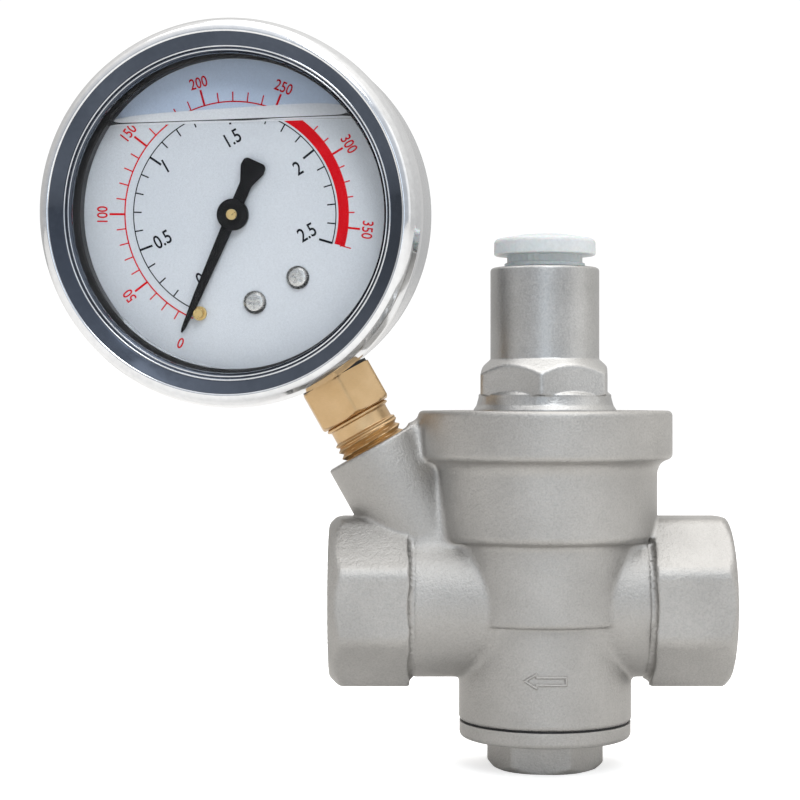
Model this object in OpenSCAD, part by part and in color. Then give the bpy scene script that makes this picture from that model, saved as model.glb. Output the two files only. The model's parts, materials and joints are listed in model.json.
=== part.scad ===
// Piston-type pressure reducing valve, DN20, with a liquid-filled pressure gauge.
// Units are millimetres. The origin is the centre of the inlet mouth, +X points out of
// the inlet, +Z is up. Water runs from the inlet (+X end) to the outlet (-X end).

/* [Ports] */
// Distance from the valve's vertical axis to the inlet mouth
inlet_reach = 35; // [34:0.5:40]
// Distance from the valve's vertical axis to the outlet mouth
outlet_reach = 41; // [41:0.5:46]
// Across flats of the octagonal port ends
port_af = 32; // [31:0.5:34]
// Length of each octagonal port end
port_len = 15.5; // [15:0.5:18]
// Radius of the necks between the ports and the barrel
neck_r = 14.7; // [14:0.1:15.2]
// Thread core radius of the two ports
port_thread_r = 12.06; // [11.9:0.01:12.2]
// Depth of the port threads
port_thread_len = 15; // [12:0.5:15]

/* [Barrel] */
// Radius of the flange at the top of the barrel
flange_r = 24.4; // [24:0.1:26]
// Height of the flange's top face over the port axis
flange_top_z = 36.5; // [36:0.5:38]
// Radius of the spring chamber's barrel
barrel_r = 21.5; // [21:0.1:22]
// Radius of the waist under it
waist_r = 18.6; // [18:0.1:19]
// Radius of the lower barrel
foot_r = 16.5; // [16:0.1:17]
// Height of the body's bottom face under the port axis
body_bottom_z = -22.7; // [-23.5:0.1:-22.5]

/* [Bonnet] */
// Across flats of the bonnet's hexagon
bonnet_af = 24; // [23:0.5:25]
// Radius of the bonnet's neck
bonnet_neck_r = 10.5; // [10:0.1:11]
// Height of the bonnet's top edge
bonnet_top_z = 64.1; // [63:0.1:66]
// Turn of the bonnet's hexagon about the vertical axis
bonnet_hex_turn = -7; // [-30:1:30]

/* [Spring and screw] */
// Outer radius of the adjusting spring
spring_r = 9; // [8.5:0.1:9.2]
// Wire diameter of the adjusting spring
spring_wire = 2.2; // [1.8:0.1:2.4]
// Number of working turns of the spring
spring_turns = 6; // [4:1:8]

/* [Bottom plug] */
// Across flats of the bottom plug's hexagon
plug_af = 19.7; // [19:0.1:22]
// Height of the plug's lowest face
plug_bottom_z = -32.05; // [-34:0.05:-32]
// Turn of the plug's hexagon about the vertical axis
plug_hex_turn = -9; // [-30:1:30]

/* [Gauge] */
// Distance of the gauge boss's face from the valve axis
boss_x = 33.1; // [33:0.1:34]
// Height of the gauge boss's face over the port axis
boss_z = 29.7; // [29:0.1:31]
// Radius of the gauge boss
boss_r = 9.8; // [9.5:0.1:10.5]
// Lean of the gauge boss from the vertical
boss_lean = 29.4; // [25:0.1:32]
// Turn of the gauge about its stem
gauge_turn = -9; // [-20:1:20]
// Distance from the boss's face to the dial centre
gauge_rise = 51.2; // [51:0.1:54]
// Outer radius of the gauge case
case_r = 35.4; // [35:0.1:35.6]
// Outer radius of the bayonet bezel
bezel_r = 36.3; // [36.2:0.1:37]
// Across flats of the brass socket's hexagon
socket_af = 14; // [14:0.5:15]

/* [Hidden] */

$fn = 96;
eps = 0.01;
slip = 0.05;          // radial clearance of a running fit
seat_gap = 0.03;      // clearance between fixed pieces that are pressed or screwed together

// Colours
steel = [0.68, 0.67, 0.65];
machined = [0.76, 0.76, 0.75];
brass = [0.80, 0.62, 0.32];
rubber = [0.08, 0.08, 0.08];
chrome = [0.86, 0.87, 0.89];
plastic = [0.93, 0.95, 0.95];

// Body: heights of the steps of the barrel and of the chambers inside it
collar_z = 28;
collar_root_z = 25.8;
waist_top_z = 11.9;
waist_bottom_z = -3.7;
port_chamfer = 2.8;
port_chamfer_face_r = port_af / 2 - 1.6;
port_back_chamfer = 0.7;
port_back_face_r = port_af / 2 + 0.6;
cover_seat_z = 27;
cover_r = 20;
piston_r = 17;
piston_floor_z = 13;
upper_chamber_r = 10;
partition_top_z = 1;
partition_bottom_z = -4;
seat_r = 7;
seat_ring_r = 9;
lower_chamber_r = 12.5;
plug_thread_r = 14;
plug_thread_top_z = -15;
waterway_r = 5.5;
waterway_half = 4;
pocket_r = 10.5;
pocket_len = 4;
boss_thread_r = 6.65;
boss_thread_len = 12;
boss_pilot_r = 2.5;
boss_pilot_len = 27;
web_half = 5.5;
arrow_x = -1;
arrow_z = -13.5;
arrow_rise = 0.45;

// Bonnet
bonnet_collar_r = 13.6;
bonnet_waist_r = 12.3;
bonnet_hex_z = 39.4;
bonnet_hex_top_z = 46.2;
spring_chamber_r = 9.5;
spring_chamber_top_z = 48.8;
bonnet_groove_z = [28.4, 30.4];
screw_r = 8;
ring_wire_r = 0.88;

// Adjusting screw and spring
screw_bottom_z = 48.6;
screw_top_z = 59;
screw_key_af = 8;
nose_r = 4;
plate_top_z = 47;
plate_bottom_z = 43.6;
spring_bottom_z = 17;
closed_turns = 1;
spring_rings_per_turn = 24;
spring_wire_sides = 10;

// Piston group
piston_bottom_z = 13.3;
piston_top_z = 23.4;
piston_groove_z = [15.4, 17.4];
guide_groove_z = [19.4, 21.8];
stem_r = 3.5;
stem_thread_r = 3;
stem_thread_top_z = 21;
washer_z = [-8.9, -7.7];
seal_z = [-9.9, -7.6];
seal_lip_r = 5.2;
seal_outer_r = 8.7;
holder_r = 9.6;
holder_bottom_z = -13;
plunger_r = 5.5;
plunger_bottom_z = -25.4;
plunger_groove_z = [-19.6, -17.6];

// Bottom plug
gasket_thick = 0.5;
plug_flange_bottom_z = -26.2;
plug_bore_bottom_z = -28.8;
plug_guide_top_z = -16.2;

// Cap
cap_head_r = 9.8;
cap_head_z = [66.5, 69.5];
cap_dome_rise = 1.2;
cap_neck_r = 7.2;
cap_dome_z = cap_head_z[1] + cap_dome_rise;
cap_dome_r = (pow(cap_head_r - 1, 2) + pow(cap_dome_rise, 2)) / (2 * cap_dome_rise);
cap_rib_r = 7.75;
cap_bottom_z = 60.4;

// Gauge: heights along the stem from the boss's face
socket_thread_r = 6.58;
socket_thread_top = 3.4;
socket_relief_r = 5.9;
socket_hex_bottom = 6.9;
socket_hex_top = 15.1;
socket_hex_turn = 13;
socket_neck_r = 6;
block_bottom_y = -32.8;
block_top_y = -11;
block_half = 8;
block_w = [-7.5, 0.9];

// Gauge: depths along the dial's axis, towards the front
case_back_w = -12;
case_front_w = 12.6;
case_wall = 1.2;
case_floor = 1.6;
case_round = 3;
dial_w = [7.2, 8];
dial_r = 34;
window_w = [11.2, 14.2];
window_r = 34.1;
window_gasket_r = 29.5;
bezel_back_w = 9.4;
bezel_side_w = 13.4;
bezel_crest_w = 18;
bezel_crest_r = 33.2;
bezel_lip_r = 29.6;
fill_plug_r = 3.2;
fill_plug_y = 22;

// Gauge movement, in the plane of the dial with y towards 12 o'clock
sector_y = -9.35;
pinion_teeth = 10;
sector_teeth = 100;
pinion_root_r = 0.62;
pinion_tip_r = 1;
sector_root_r = 8.22;
sector_tip_r = 8.6;
sector_span = 11;
sector_rest_tilt = -13.5;
tail_angle = -115;
tail_r = 4;
tail_pin_r = 0.5;
link_hole_r = 0.78;
link_half = 1.2;
arbor_r = 0.6;
arbor_hole_r = 0.65;
tube_r = 24;
tube_half_w = 3.5;
tube_mid_w = -3.5;
tube_half_t = 1.5;
tube_skin = 0.4;
tube_end_angle = -25;
tube_sweep = 280;
tip_pin = [24, -3];
pillar_r = 1.4;
pillar_places = [[-7.5, 4], [7.5, 4], [-7.5, -7], [7.5, -7]];
foot_screw_places = [[-5.8, -12.4], [5.8, -12.4]];
rear_plate_w = [0.9, 1.7];
front_plate_w = [5, 5.8];
sector_w = [2.4, 3.4];
link_w = [3.6, 4.2];
hairspring_w = [4.4, 4.8];
dial_screw_x = 4.75;
dial_screw_y = -16.3;
dial_screw_core_r = 1.05;
small_screw_core_r = 0.65;
zero_angle = -144;
pointer_w = [9, 9.6];
pointer_tip_r = 24.5;
pointer_tail_r = 11;
pointer_hub_r = 3;
stop_angle = -139.5;
stop_radius = 19.8;
stop_r = 0.88;
stop_collar_r = 1.35;

// ---- Placement of the sub-assemblies ----

// The valve's vertical axis
module on_axis() {
    translate([-inlet_reach, 0, 0])
        children();
}

// The gauge boss: origin in its face, +Z out of the boss
module on_boss() {
    on_axis()
        translate([-boss_x, 0, boss_z])
            rotate([0, -boss_lean, 0])
                children();
}

// The gauge's stem: as the boss, turned so that -Y is the front of the gauge
module on_stem() {
    on_boss()
        rotate([0, 0, gauge_turn])
            children();
}

// The gauge's dial: origin at the pointer's axis, +Z out of the dial, +Y to 12 o'clock
module on_dial() {
    on_stem()
        translate([0, 0, gauge_rise])
            rotate([90, 0, 0])
                children();
}

// ---- Shapes used by several pieces ----

// Cylinder between two heights
module span(r, z) {
    translate([0, 0, z[0]])
        cylinder(r = r, h = z[1] - z[0]);
}

// Ring between two heights
module ring(outer, inner, z) {
    difference() {
        span(outer, z);
        span(inner, [z[0] - 1, z[1] + 1]);
    }
}

// Regular prism given by its width across flats, with flats facing +-X
module prism(sides, af, z) {
    translate([0, 0, z[0]])
        rotate([0, 0, 180 / sides])
            cylinder(r = af / 2 / cos(180 / sides), h = z[1] - z[0], $fn = sides);
}

// O-ring lying in the XY plane
module o_ring(middle_r, wire_r) {
    rotate_extrude()
        translate([middle_r, 0])
            circle(r = wire_r, $fn = 32);
}

// Hexagon whose corners are cut by a cone at the top and the bottom
module chamfered_hex(af, z, top_cut, bottom_cut, top_r = 0) {
    corner = af / 2 / cos(30);
    inner = af / 2 * 0.97;
    top_inner = top_r > 0 ? top_r : inner;
    intersection() {
        prism(6, af, z);
        rotate_extrude()
            polygon([
                [0, z[0] - eps],
                [inner, z[0] - eps],
                [corner + eps, z[0] + bottom_cut],
                [corner + eps, z[1] - top_cut],
                [top_inner, z[1] + eps],
                [0, z[1] + eps]
            ]);
    }
}

// Points of an arc
function arc_points(centre, r, from, to, steps) =
    [for (i = [0:steps])
        let (a = from + (to - from) * i / steps)
        [centre[0] + r * cos(a), centre[1] + r * sin(a)]];

// ---- Valve body ----

module barrel_outside() {
    rotate_extrude()
        polygon([
            [0, body_bottom_z],
            [foot_r, body_bottom_z],
            [foot_r, waist_bottom_z - 0.6],
            [foot_r + 0.6, waist_bottom_z],
            [waist_r - 0.9, waist_bottom_z],
            [waist_r, waist_bottom_z + 0.9],
            [waist_r, waist_top_z - 0.9],
            [waist_r + 0.9, waist_top_z],
            [barrel_r - 1.3, waist_top_z],
            [barrel_r, waist_top_z + 1.3],
            [barrel_r, collar_root_z],
            [flange_r, collar_z],
            [flange_r, flange_top_z - 0.7],
            [flange_r - 0.7, flange_top_z],
            [0, flange_top_z]
        ]);
}

// Solid octagon of a port along +X, its mouth and its back corners chamfered by cones.
module port_blank(reach) {
    corner = port_af / 2 / cos(22.5);
    back = reach - port_len;
    rotate([0, 90, 0])
        intersection() {
            rotate([0, 0, 22.5])
                translate([0, 0, back])
                    cylinder(r = corner, h = port_len, $fn = 8);
            rotate_extrude()
                polygon([
                    [0, back - eps],
                    [port_back_face_r, back - eps],
                    [port_back_face_r, back],
                    [corner + eps, back + port_back_chamfer],
                    [corner + eps, reach - port_chamfer],
                    [port_chamfer_face_r, reach],
                    [0, reach]
                ]);
        }
}

// Port end along +X with the thread core in it. It is one casting with the body, and a node
// of its own so that its bore stays a simple one.
module port_end(reach) {
    color(steel)
        difference() {
            port_blank(reach);
            rotate([0, 90, 0]) {
                span(port_thread_r, [reach - port_thread_len, reach + 1]);
                span(pocket_r, [reach - port_len - 1, reach]);
            }
        }
}

module inlet_end() {
    on_axis()
        port_end(inlet_reach);
}

module outlet_end() {
    on_axis()
        mirror([1, 0, 0])
            port_end(outlet_reach);
}

// Neck from the barrel to a port end, along +X
module neck(reach) {
    rotate([0, 90, 0])
        cylinder(r = neck_r, h = reach - port_len);
}

// Stadium-shaped waterway from a port to a chamber, between two points of the XZ plane
module waterway(from, to) {
    run = [to[0] - from[0], to[1] - from[1]];
    lean = atan2(run[0], run[1]);
    translate([from[0], 0, from[1]])
        rotate([0, lean, 0])
            linear_extrude(norm(run)) {
                square([2 * waterway_r, 2 * waterway_half], center = true);
                for (side = [-1, 1])
                    translate([0, side * waterway_half])
                        circle(r = waterway_r);
            }
}

// Pocket behind a port's thread, along +X
module pocket(reach) {
    rotate([0, 90, 0])
        span(pocket_r, [reach - port_thread_len - pocket_len, reach]);
}

// Rib that joins the gauge boss to the barrel and the flange
module boss_web() {
    rotate([90, 0, 0])
        linear_extrude(2 * web_half, center = true)
            polygon([
                [-boss_x + 7.2, boss_z + 4.2],
                [-flange_r + 2, boss_z + 4.2],
                [-waist_r + 2, 8],
                [-neck_r - 4, 8]
            ]);
}

// Flow arrow, raised on the front of the lower barrel, pointing at the outlet
module flow_arrow() {
    depth = 3;
    translate([arrow_x, -foot_r - arrow_rise, arrow_z])
        rotate([90, 0, 0])
            mirror([0, 0, 1])
                linear_extrude(depth)
                    difference() {
                        polygon([
                            [-4.1, 0],
                            [-1.8, 1.8],
                            [-1.8, 0.95],
                            [4.1, 0.95],
                            [4.1, -0.95],
                            [-1.8, -0.95],
                            [-1.8, -1.8]
                        ]);
                        polygon([
                            [-3.3, 0],
                            [-2.3, 0.78],
                            [-2.3, 0.45],
                            [3.6, 0.45],
                            [3.6, -0.45],
                            [-2.3, -0.45],
                            [-2.3, -0.78]
                        ]);
                    }
}

module body() {
    color(steel)
        on_axis()
            difference() {
                union() {
                    barrel_outside();
                    neck(inlet_reach);
                    mirror([1, 0, 0])
                        neck(outlet_reach);
                    boss_web();
                    intersection() {
                        flow_arrow();
                        cylinder(r = foot_r + arrow_rise, h = 60, center = true);
                    }
                    translate([-boss_x, 0, boss_z])
                        rotate([0, -boss_lean, 0])
                            translate([0, 0, -29])
                                cylinder(r = boss_r, h = 29);
                }
                port_blank(inlet_reach);
                mirror([1, 0, 0])
                    port_blank(outlet_reach);
                pocket(inlet_reach);
                mirror([1, 0, 0])
                    pocket(outlet_reach);
                waterway([inlet_reach - port_thread_len + 1, 0], [6, -11]);
                waterway([-outlet_reach + port_thread_len - 1, 0], [-6, 5.6]);
                span(cover_r + seat_gap, [cover_seat_z, flange_top_z + 1]);
                span(piston_r, [piston_floor_z, cover_seat_z + 1]);
                span(upper_chamber_r, [partition_top_z, piston_floor_z + 1]);
                span(seat_ring_r + seat_gap, [partition_bottom_z - 1, partition_top_z - 2]);
                span(seat_r, [partition_bottom_z - 1, partition_top_z + 1]);
                span(lower_chamber_r, [body_bottom_z - 1, partition_bottom_z]);
                span(plug_thread_r + seat_gap, [body_bottom_z - 1, plug_thread_top_z]);
                translate([-boss_x, 0, boss_z])
                    rotate([0, -boss_lean, 0]) {
                        span(boss_thread_r, [-boss_thread_len, 1]);
                        span(boss_pilot_r, [-boss_pilot_len, 0]);
                    }
            }
}

module seat_ring() {
    color(machined)
        on_axis()
            difference() {
                union() {
                    span(seat_ring_r, [partition_bottom_z, partition_top_z - 2 - seat_gap]);
                    span(seat_r + 0.9, [partition_bottom_z - 0.5, partition_bottom_z + 1]);
                }
                span(seat_r - 0.6, [partition_bottom_z - 2, partition_top_z]);
            }
}

// ---- Bonnet, adjusting screw and spring ----

module bonnet() {
    color(steel)
        on_axis()
            difference() {
                union() {
                    span(cover_r, [cover_seat_z, flange_top_z]);
                    rotate_extrude()
                        polygon([
                            [0, flange_top_z - 1],
                            [bonnet_collar_r, flange_top_z - 1],
                            [bonnet_collar_r, flange_top_z + 0.2],
                            [bonnet_waist_r + 0.5, flange_top_z + 1.2],
                            [bonnet_waist_r, bonnet_hex_z + eps],
                            [0, bonnet_hex_z + eps]
                        ]);
                    rotate([0, 0, bonnet_hex_turn])
                        chamfered_hex(bonnet_af, [bonnet_hex_z, bonnet_hex_top_z], 2.8, 0.4, 10.8);
                    rotate_extrude()
                        polygon([
                            [0, bonnet_hex_top_z - 1],
                            [bonnet_neck_r, bonnet_hex_top_z - 1],
                            [bonnet_neck_r, bonnet_top_z - 0.7],
                            [bonnet_neck_r - 0.7, bonnet_top_z],
                            [0, bonnet_top_z]
                        ]);
                }
                span(spring_chamber_r, [cover_seat_z - 1, spring_chamber_top_z]);
                span(screw_r + slip, [spring_chamber_top_z - 1, bonnet_top_z + 1]);
                ring(cover_r + 1, cover_r - 2 * ring_wire_r - slip, bonnet_groove_z);
            }
}

module bonnet_o_ring() {
    color(rubber)
        on_axis()
            translate([0, 0, (bonnet_groove_z[0] + bonnet_groove_z[1]) / 2])
                o_ring(cover_r - ring_wire_r, ring_wire_r);
}

module adjusting_screw() {
    color(machined)
        on_axis()
            difference() {
                union() {
                    span(nose_r, [plate_top_z - 1, screw_bottom_z + 1]);
                    rotate_extrude()
                        polygon([
                            [0, screw_bottom_z],
                            [screw_r - 0.8, screw_bottom_z],
                            [screw_r, screw_bottom_z + 0.8],
                            [screw_r, screw_top_z - 0.8],
                            [screw_r - 0.8, screw_top_z],
                            [0, screw_top_z]
                        ]);
                }
                prism(6, screw_key_af, [screw_top_z - 6, screw_top_z + 1]);
            }
}

module spring_plate() {
    color(machined)
        on_axis()
            difference() {
                union() {
                    span(spring_r, [plate_bottom_z, plate_top_z]);
                    span(spring_r - spring_wire - 0.4, [plate_bottom_z - 1.4, plate_top_z - 1]);
                }
                span(nose_r + slip, [plate_top_z - 1, plate_top_z + 1]);
            }
}

// Height of the spring's centre line after a share of its length: closed at both ends
function spring_height(turn, total, low, high) =
    let (wire = spring_wire * 1.02)
    turn < closed_turns ? low + wire * turn :
    turn > total - closed_turns ? high - wire * (total - turn) :
    low + wire * closed_turns
        + (high - low - 2 * wire * closed_turns)
            * (turn - closed_turns) / (total - 2 * closed_turns);

module spring() {
    total = spring_turns + 2 * closed_turns;
    middle_r = spring_r - spring_wire / 2;
    low = spring_bottom_z + spring_wire / 2 + 0.02;
    high = plate_bottom_z - spring_wire / 2 - 0.02;
    rings = total * spring_rings_per_turn;
    sides = spring_wire_sides;
    points = [for (i = [0:rings])
        let (turn = i / spring_rings_per_turn, a = 360 * turn,
            z = spring_height(turn, total, low, high))
        for (j = [0:sides - 1])
            let (b = 360 * j / sides, r = middle_r + spring_wire / 2 * cos(b))
            [r * cos(a), r * sin(a), z + spring_wire / 2 * sin(b)]];
    walls = [for (i = [0:rings - 1])
        for (j = [0:sides - 1])
            let (k = (j + 1) % sides)
            [i * sides + j, i * sides + k, (i + 1) * sides + k, (i + 1) * sides + j]];
    first = [[for (j = [0:sides - 1]) sides - 1 - j]];
    last = [[for (j = [0:sides - 1]) rings * sides + j]];
    color(machined)
        on_axis()
            polyhedron(points, concat(walls, first, last), convexity = 10);
}

// ---- Piston group ----

module piston() {
    color(machined)
        on_axis()
            difference() {
                span(piston_r - slip, [piston_bottom_z, piston_top_z]);
                span(spring_r + 0.4, [spring_bottom_z, piston_top_z + 1]);
                span(stem_thread_r + seat_gap, [0, piston_top_z]);
                ring(piston_r + 1, piston_r - 2 * ring_wire_r - 2 * slip, piston_groove_z);
                ring(piston_r + 1, piston_r - 1.5, guide_groove_z);
            }
}

module piston_o_ring() {
    color(rubber)
        on_axis()
            translate([0, 0, (piston_groove_z[0] + piston_groove_z[1]) / 2])
                o_ring(piston_r - slip / 2 - ring_wire_r, ring_wire_r);
}

module piston_guide_ring() {
    color("ivory")
        on_axis()
            ring(piston_r - slip / 2, piston_r - 1.45, [guide_groove_z[0] + 0.03, guide_groove_z[1] - 0.03]);
}

module valve_stem() {
    color(machined)
        on_axis()
            union() {
                span(stem_thread_r, [holder_bottom_z + 2, stem_thread_top_z]);
                span(stem_r, [washer_z[1] + 0.02, piston_bottom_z - 0.02]);
            }
}

module stem_nut() {
    color(machined)
        on_axis()
            difference() {
                chamfered_hex(10, [spring_bottom_z + 0.02, spring_bottom_z + 3.2], 0.8, 0.1);
                span(stem_thread_r + seat_gap, [0, 60]);
            }
}

module seal_washer() {
    color(machined)
        on_axis()
            ring(5, stem_thread_r + seat_gap, washer_z);
}

module seal_disc() {
    color(rubber)
        on_axis()
            ring(seal_outer_r, seal_lip_r, seal_z);
}

module disc_holder() {
    color(machined)
        on_axis()
            difference() {
                union() {
                    span(holder_r, [holder_bottom_z, seal_z[1] - 0.3]);
                    span(plunger_r - slip, [plunger_bottom_z, holder_bottom_z + 1]);
                }
                ring(seal_outer_r + 0.02, seal_lip_r - 1.2, [seal_z[0] - 0.02, seal_z[1] + 1]);
                span(5.05, [washer_z[0] - 0.02, 0]);
                span(stem_thread_r + seat_gap, [holder_bottom_z + 1.5, 0]);
                ring(plunger_r + 1, plunger_r - 2 * ring_wire_r - slip, plunger_groove_z);
            }
}

module balance_o_ring() {
    color(rubber)
        on_axis()
            translate([0, 0, (plunger_groove_z[0] + plunger_groove_z[1]) / 2])
                o_ring(plunger_r - slip / 2 - ring_wire_r, ring_wire_r);
}

// ---- Bottom plug and cap ----

module bottom_plug() {
    flange_top = body_bottom_z - gasket_thick;
    color(steel)
        on_axis()
            difference() {
                union() {
                    span(plug_thread_r, [flange_top - 1, plug_thread_top_z - 1.5]);
                    rotate_extrude()
                        polygon([
                            [0, plug_flange_bottom_z],
                            [foot_r - 1.1, plug_flange_bottom_z],
                            [foot_r, plug_flange_bottom_z + 0.8],
                            [foot_r, flange_top],
                            [0, flange_top]
                        ]);
                    rotate([0, 0, plug_hex_turn + 30])
                        chamfered_hex(plug_af, [plug_bottom_z, plug_flange_bottom_z + eps], 0.3, 1.1);
                }
                span(plunger_r, [plug_bore_bottom_z, 0]);
                ring(plug_thread_r - 2, plunger_r + 2.5, [-22, 0]);
            }
}

module plug_gasket() {
    color(rubber)
        on_axis()
            ring(foot_r - 0.35, plug_thread_r + 0.1, [body_bottom_z - gasket_thick, body_bottom_z]);
}

module cap() {
    color(plastic)
        on_axis()
            difference() {
                rotate_extrude()
                    polygon(concat(
                        [[0, cap_bottom_z]],
                        [[cap_neck_r - 0.6, cap_bottom_z]],
                        [[cap_neck_r, cap_bottom_z + 0.6]],
                        [[cap_neck_r, bonnet_top_z]],
                        [[cap_rib_r, bonnet_top_z + 0.2]],
                        [[cap_rib_r, bonnet_top_z + 0.8]],
                        [[cap_neck_r, bonnet_top_z + 1]],
                        [[cap_neck_r, cap_head_z[0]]],
                        [[cap_head_r, cap_head_z[0]]],
                        arc_points([cap_head_r - 1, cap_head_z[1] - 1], 1, 0, 70, 5),
                        arc_points([0, cap_dome_z - cap_dome_r], cap_dome_r, 76, 90, 5)
                    ));
                span(cap_neck_r - 1.4, [cap_bottom_z - 1, cap_head_z[0] - 0.5]);
            }
}

// ---- Gauge: pressure parts and case ----

module tube_section(grow) {
    translate([tube_r, tube_mid_w]) {
        square([2 * (tube_half_t + grow), 2 * (tube_half_w - tube_half_t)], center = true);
        for (side = [-1, 1])
            translate([0, side * (tube_half_w - tube_half_t)])
                circle(r = tube_half_t + grow, $fn = 24);
    }
}

module tube_shape(grow, sweep) {
    rotate([0, 0, tube_end_angle])
        rotate_extrude(angle = sweep)
            tube_section(grow);
}

module bourdon_tube() {
    color(brass)
        on_dial()
            difference() {
                tube_shape(0, tube_sweep);
                rotate([0, 0, -0.5])
                    tube_shape(-tube_skin, tube_sweep + 1);
            }
}

module gauge_socket() {
    color(brass) {
        on_stem()
            difference() {
                union() {
                    rotate_extrude()
                        polygon([
                            [0, -boss_thread_len + 1.5],
                            [socket_thread_r - 1, -boss_thread_len + 1.5],
                            [socket_thread_r, -boss_thread_len + 2.5],
                            [socket_thread_r, socket_thread_top - 0.6],
                            [socket_relief_r, socket_thread_top],
                            [socket_relief_r, socket_hex_bottom + 0.1],
                            [0, socket_hex_bottom + 0.1]
                        ]);
                    rotate([0, 0, 30 + socket_hex_turn])
                        chamfered_hex(socket_af, [socket_hex_bottom, socket_hex_top], 0.2, 0.5);
                    span(socket_neck_r, [socket_hex_top - 1, gauge_rise + block_bottom_y + eps]);
                    difference() {
                        translate([-block_half, -block_w[1], gauge_rise + block_bottom_y])
                            cube([2 * block_half, block_w[1] - block_w[0], block_top_y - block_bottom_y]);
                        translate([0, 0, gauge_rise])
                            rotate([90, 0, 0]) {
                                tube_shape(0.03, tube_sweep + 0.2);
                                for (side = [-1, 1])
                                    translate([side * dial_screw_x, dial_screw_y])
                                        span(dial_screw_core_r, [-3, 2]);
                                for (place = foot_screw_places)
                                    translate(place)
                                        span(small_screw_core_r, [-3, 2]);
                            }
                    }
                }
                span(1.6, [-boss_thread_len, gauge_rise + block_bottom_y - 0.6]);
                translate([0, 1.5, 0])
                    span(1, [gauge_rise + block_bottom_y - 1.4, gauge_rise - 22]);
                translate([0, 1.5, gauge_rise - 23])
                    rotate([0, -90, 0])
                        span(0.9, [0, 6]);
            }
    }
}

module socket_gasket() {
    color(rubber)
        on_stem()
            ring(socket_neck_r + 0.9, socket_neck_r + 0.02, [socket_hex_top + 0.02, gauge_rise - case_r - 0.05]);
}

module gauge_case() {
    inner = case_r - case_wall;
    color(rubber)
        on_dial()
            difference() {
                rotate_extrude()
                    polygon(concat(
                        [[0, case_back_w]],
                        arc_points([case_r - case_round, case_back_w + case_round], case_round, -90, 0, 8),
                        [[case_r, case_front_w]],
                        [[inner, case_front_w]],
                        arc_points([inner - case_round, case_back_w + case_floor + case_round],
                            case_round, 0, -90, 8),
                        [[0, case_back_w + case_floor]]
                    ));
                rotate([90, 0, 0])
                    span(socket_neck_r + 0.03, [case_r - 3, case_r + 1]);
                translate([0, fill_plug_y, 0])
                    span(fill_plug_r, [case_back_w - 1, case_back_w + 3]);
            }
}

module fill_plug() {
    color(rubber)
        on_dial()
            translate([0, fill_plug_y, 0]) {
                span(fill_plug_r - 0.02, [case_back_w - 0.02, case_back_w + case_floor + 0.02]);
                span(fill_plug_r + 1, [case_back_w + case_floor + 0.02, case_back_w + case_floor + 1]);
                rotate_extrude()
                    polygon([
                        [0, case_back_w - 1.3],
                        [fill_plug_r + 0.4, case_back_w - 1.3],
                        [fill_plug_r + 1.2, case_back_w - 0.6],
                        [fill_plug_r + 1.2, case_back_w - 0.02],
                        [0, case_back_w - 0.02]
                    ]);
            }
}

module gauge_bezel() {
    shoulder = bezel_r - bezel_crest_r;
    color(chrome)
        on_dial()
            rotate_extrude($fn = 160)
                polygon(concat(
                    [[case_r + slip, bezel_back_w]],
                    [[bezel_r - 0.5, bezel_back_w]],
                    [[bezel_r, bezel_back_w + 0.6]],
                    [for (i = [0:10])
                        let (a = 90 * i / 10)
                        [bezel_crest_r + shoulder * cos(a),
                            bezel_side_w + (bezel_crest_w - bezel_side_w) * sin(a)]],
                    [[bezel_lip_r + 1.6, window_w[1] + 2]],
                    [[bezel_lip_r + 0.6, window_w[1] + 1.4]],
                    [[bezel_lip_r, window_w[1] + 0.9]],
                    [[bezel_lip_r, window_w[1] + 0.02]],
                    [[case_r + slip, window_w[1] + 0.02]]
                ));
}

module gauge_window() {
    color([0.85, 0.92, 0.95, 0.3])
        on_dial()
            span(window_r, window_w);
}

module window_gasket() {
    color(rubber)
        on_dial()
            ring(window_r, window_gasket_r, [dial_w[1] + 0.02, window_w[0] - 0.02]);
}

// ---- Gauge: dial, pointer and movement ----

module dial() {
    color([0.88, 0.91, 0.95])
        on_dial()
            difference() {
                span(dial_r, dial_w);
                span(1.5, [0, 20]);
                for (side = [-1, 1])
                    translate([side * dial_screw_x, dial_screw_y])
                        span(dial_screw_core_r, [0, 20]);
                rotate([0, 0, stop_angle])
                    translate([stop_radius, 0])
                        span(stop_r + 0.02, [0, 20]);
            }
}

// Two cross-head screws that hold the dial on its posts
module dial_screws() {
    color(machined)
        on_dial()
            for (side = [-1, 1])
                translate([side * dial_screw_x, dial_screw_y])
                    difference() {
                        union() {
                            span(1, [-1.5, dial_w[1] + 0.3]);
                            rotate_extrude()
                                polygon([
                                    [0, dial_w[1] + 0.02],
                                    [2.2, dial_w[1] + 0.02],
                                    [2.2, dial_w[1] + 0.5],
                                    [1.6, dial_w[1] + 1.05],
                                    [0, dial_w[1] + 1.15]
                                ]);
                        }
                        for (turn = [0, 90])
                            rotate([0, 0, 30 * side + turn])
                                translate([-1.1, -0.22, dial_w[1] + 0.5])
                                    cube([2.2, 0.44, 1]);
                    }
}

module dial_posts() {
    color(brass)
        on_dial()
            for (side = [-1, 1])
                translate([side * dial_screw_x, dial_screw_y])
                    ring(1.6, dial_screw_core_r, [block_w[1] + 0.02, dial_w[0] - 0.02]);
}

module stop_pin() {
    color(brass)
        on_dial()
            rotate([0, 0, stop_angle])
                translate([stop_radius, 0]) {
                    span(stop_r, [dial_w[0] - 0.6, pointer_w[1] + 0.5]);
                    span(stop_collar_r, [dial_w[1] + 0.02, pointer_w[0] - 0.3]);
                }
}

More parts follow.
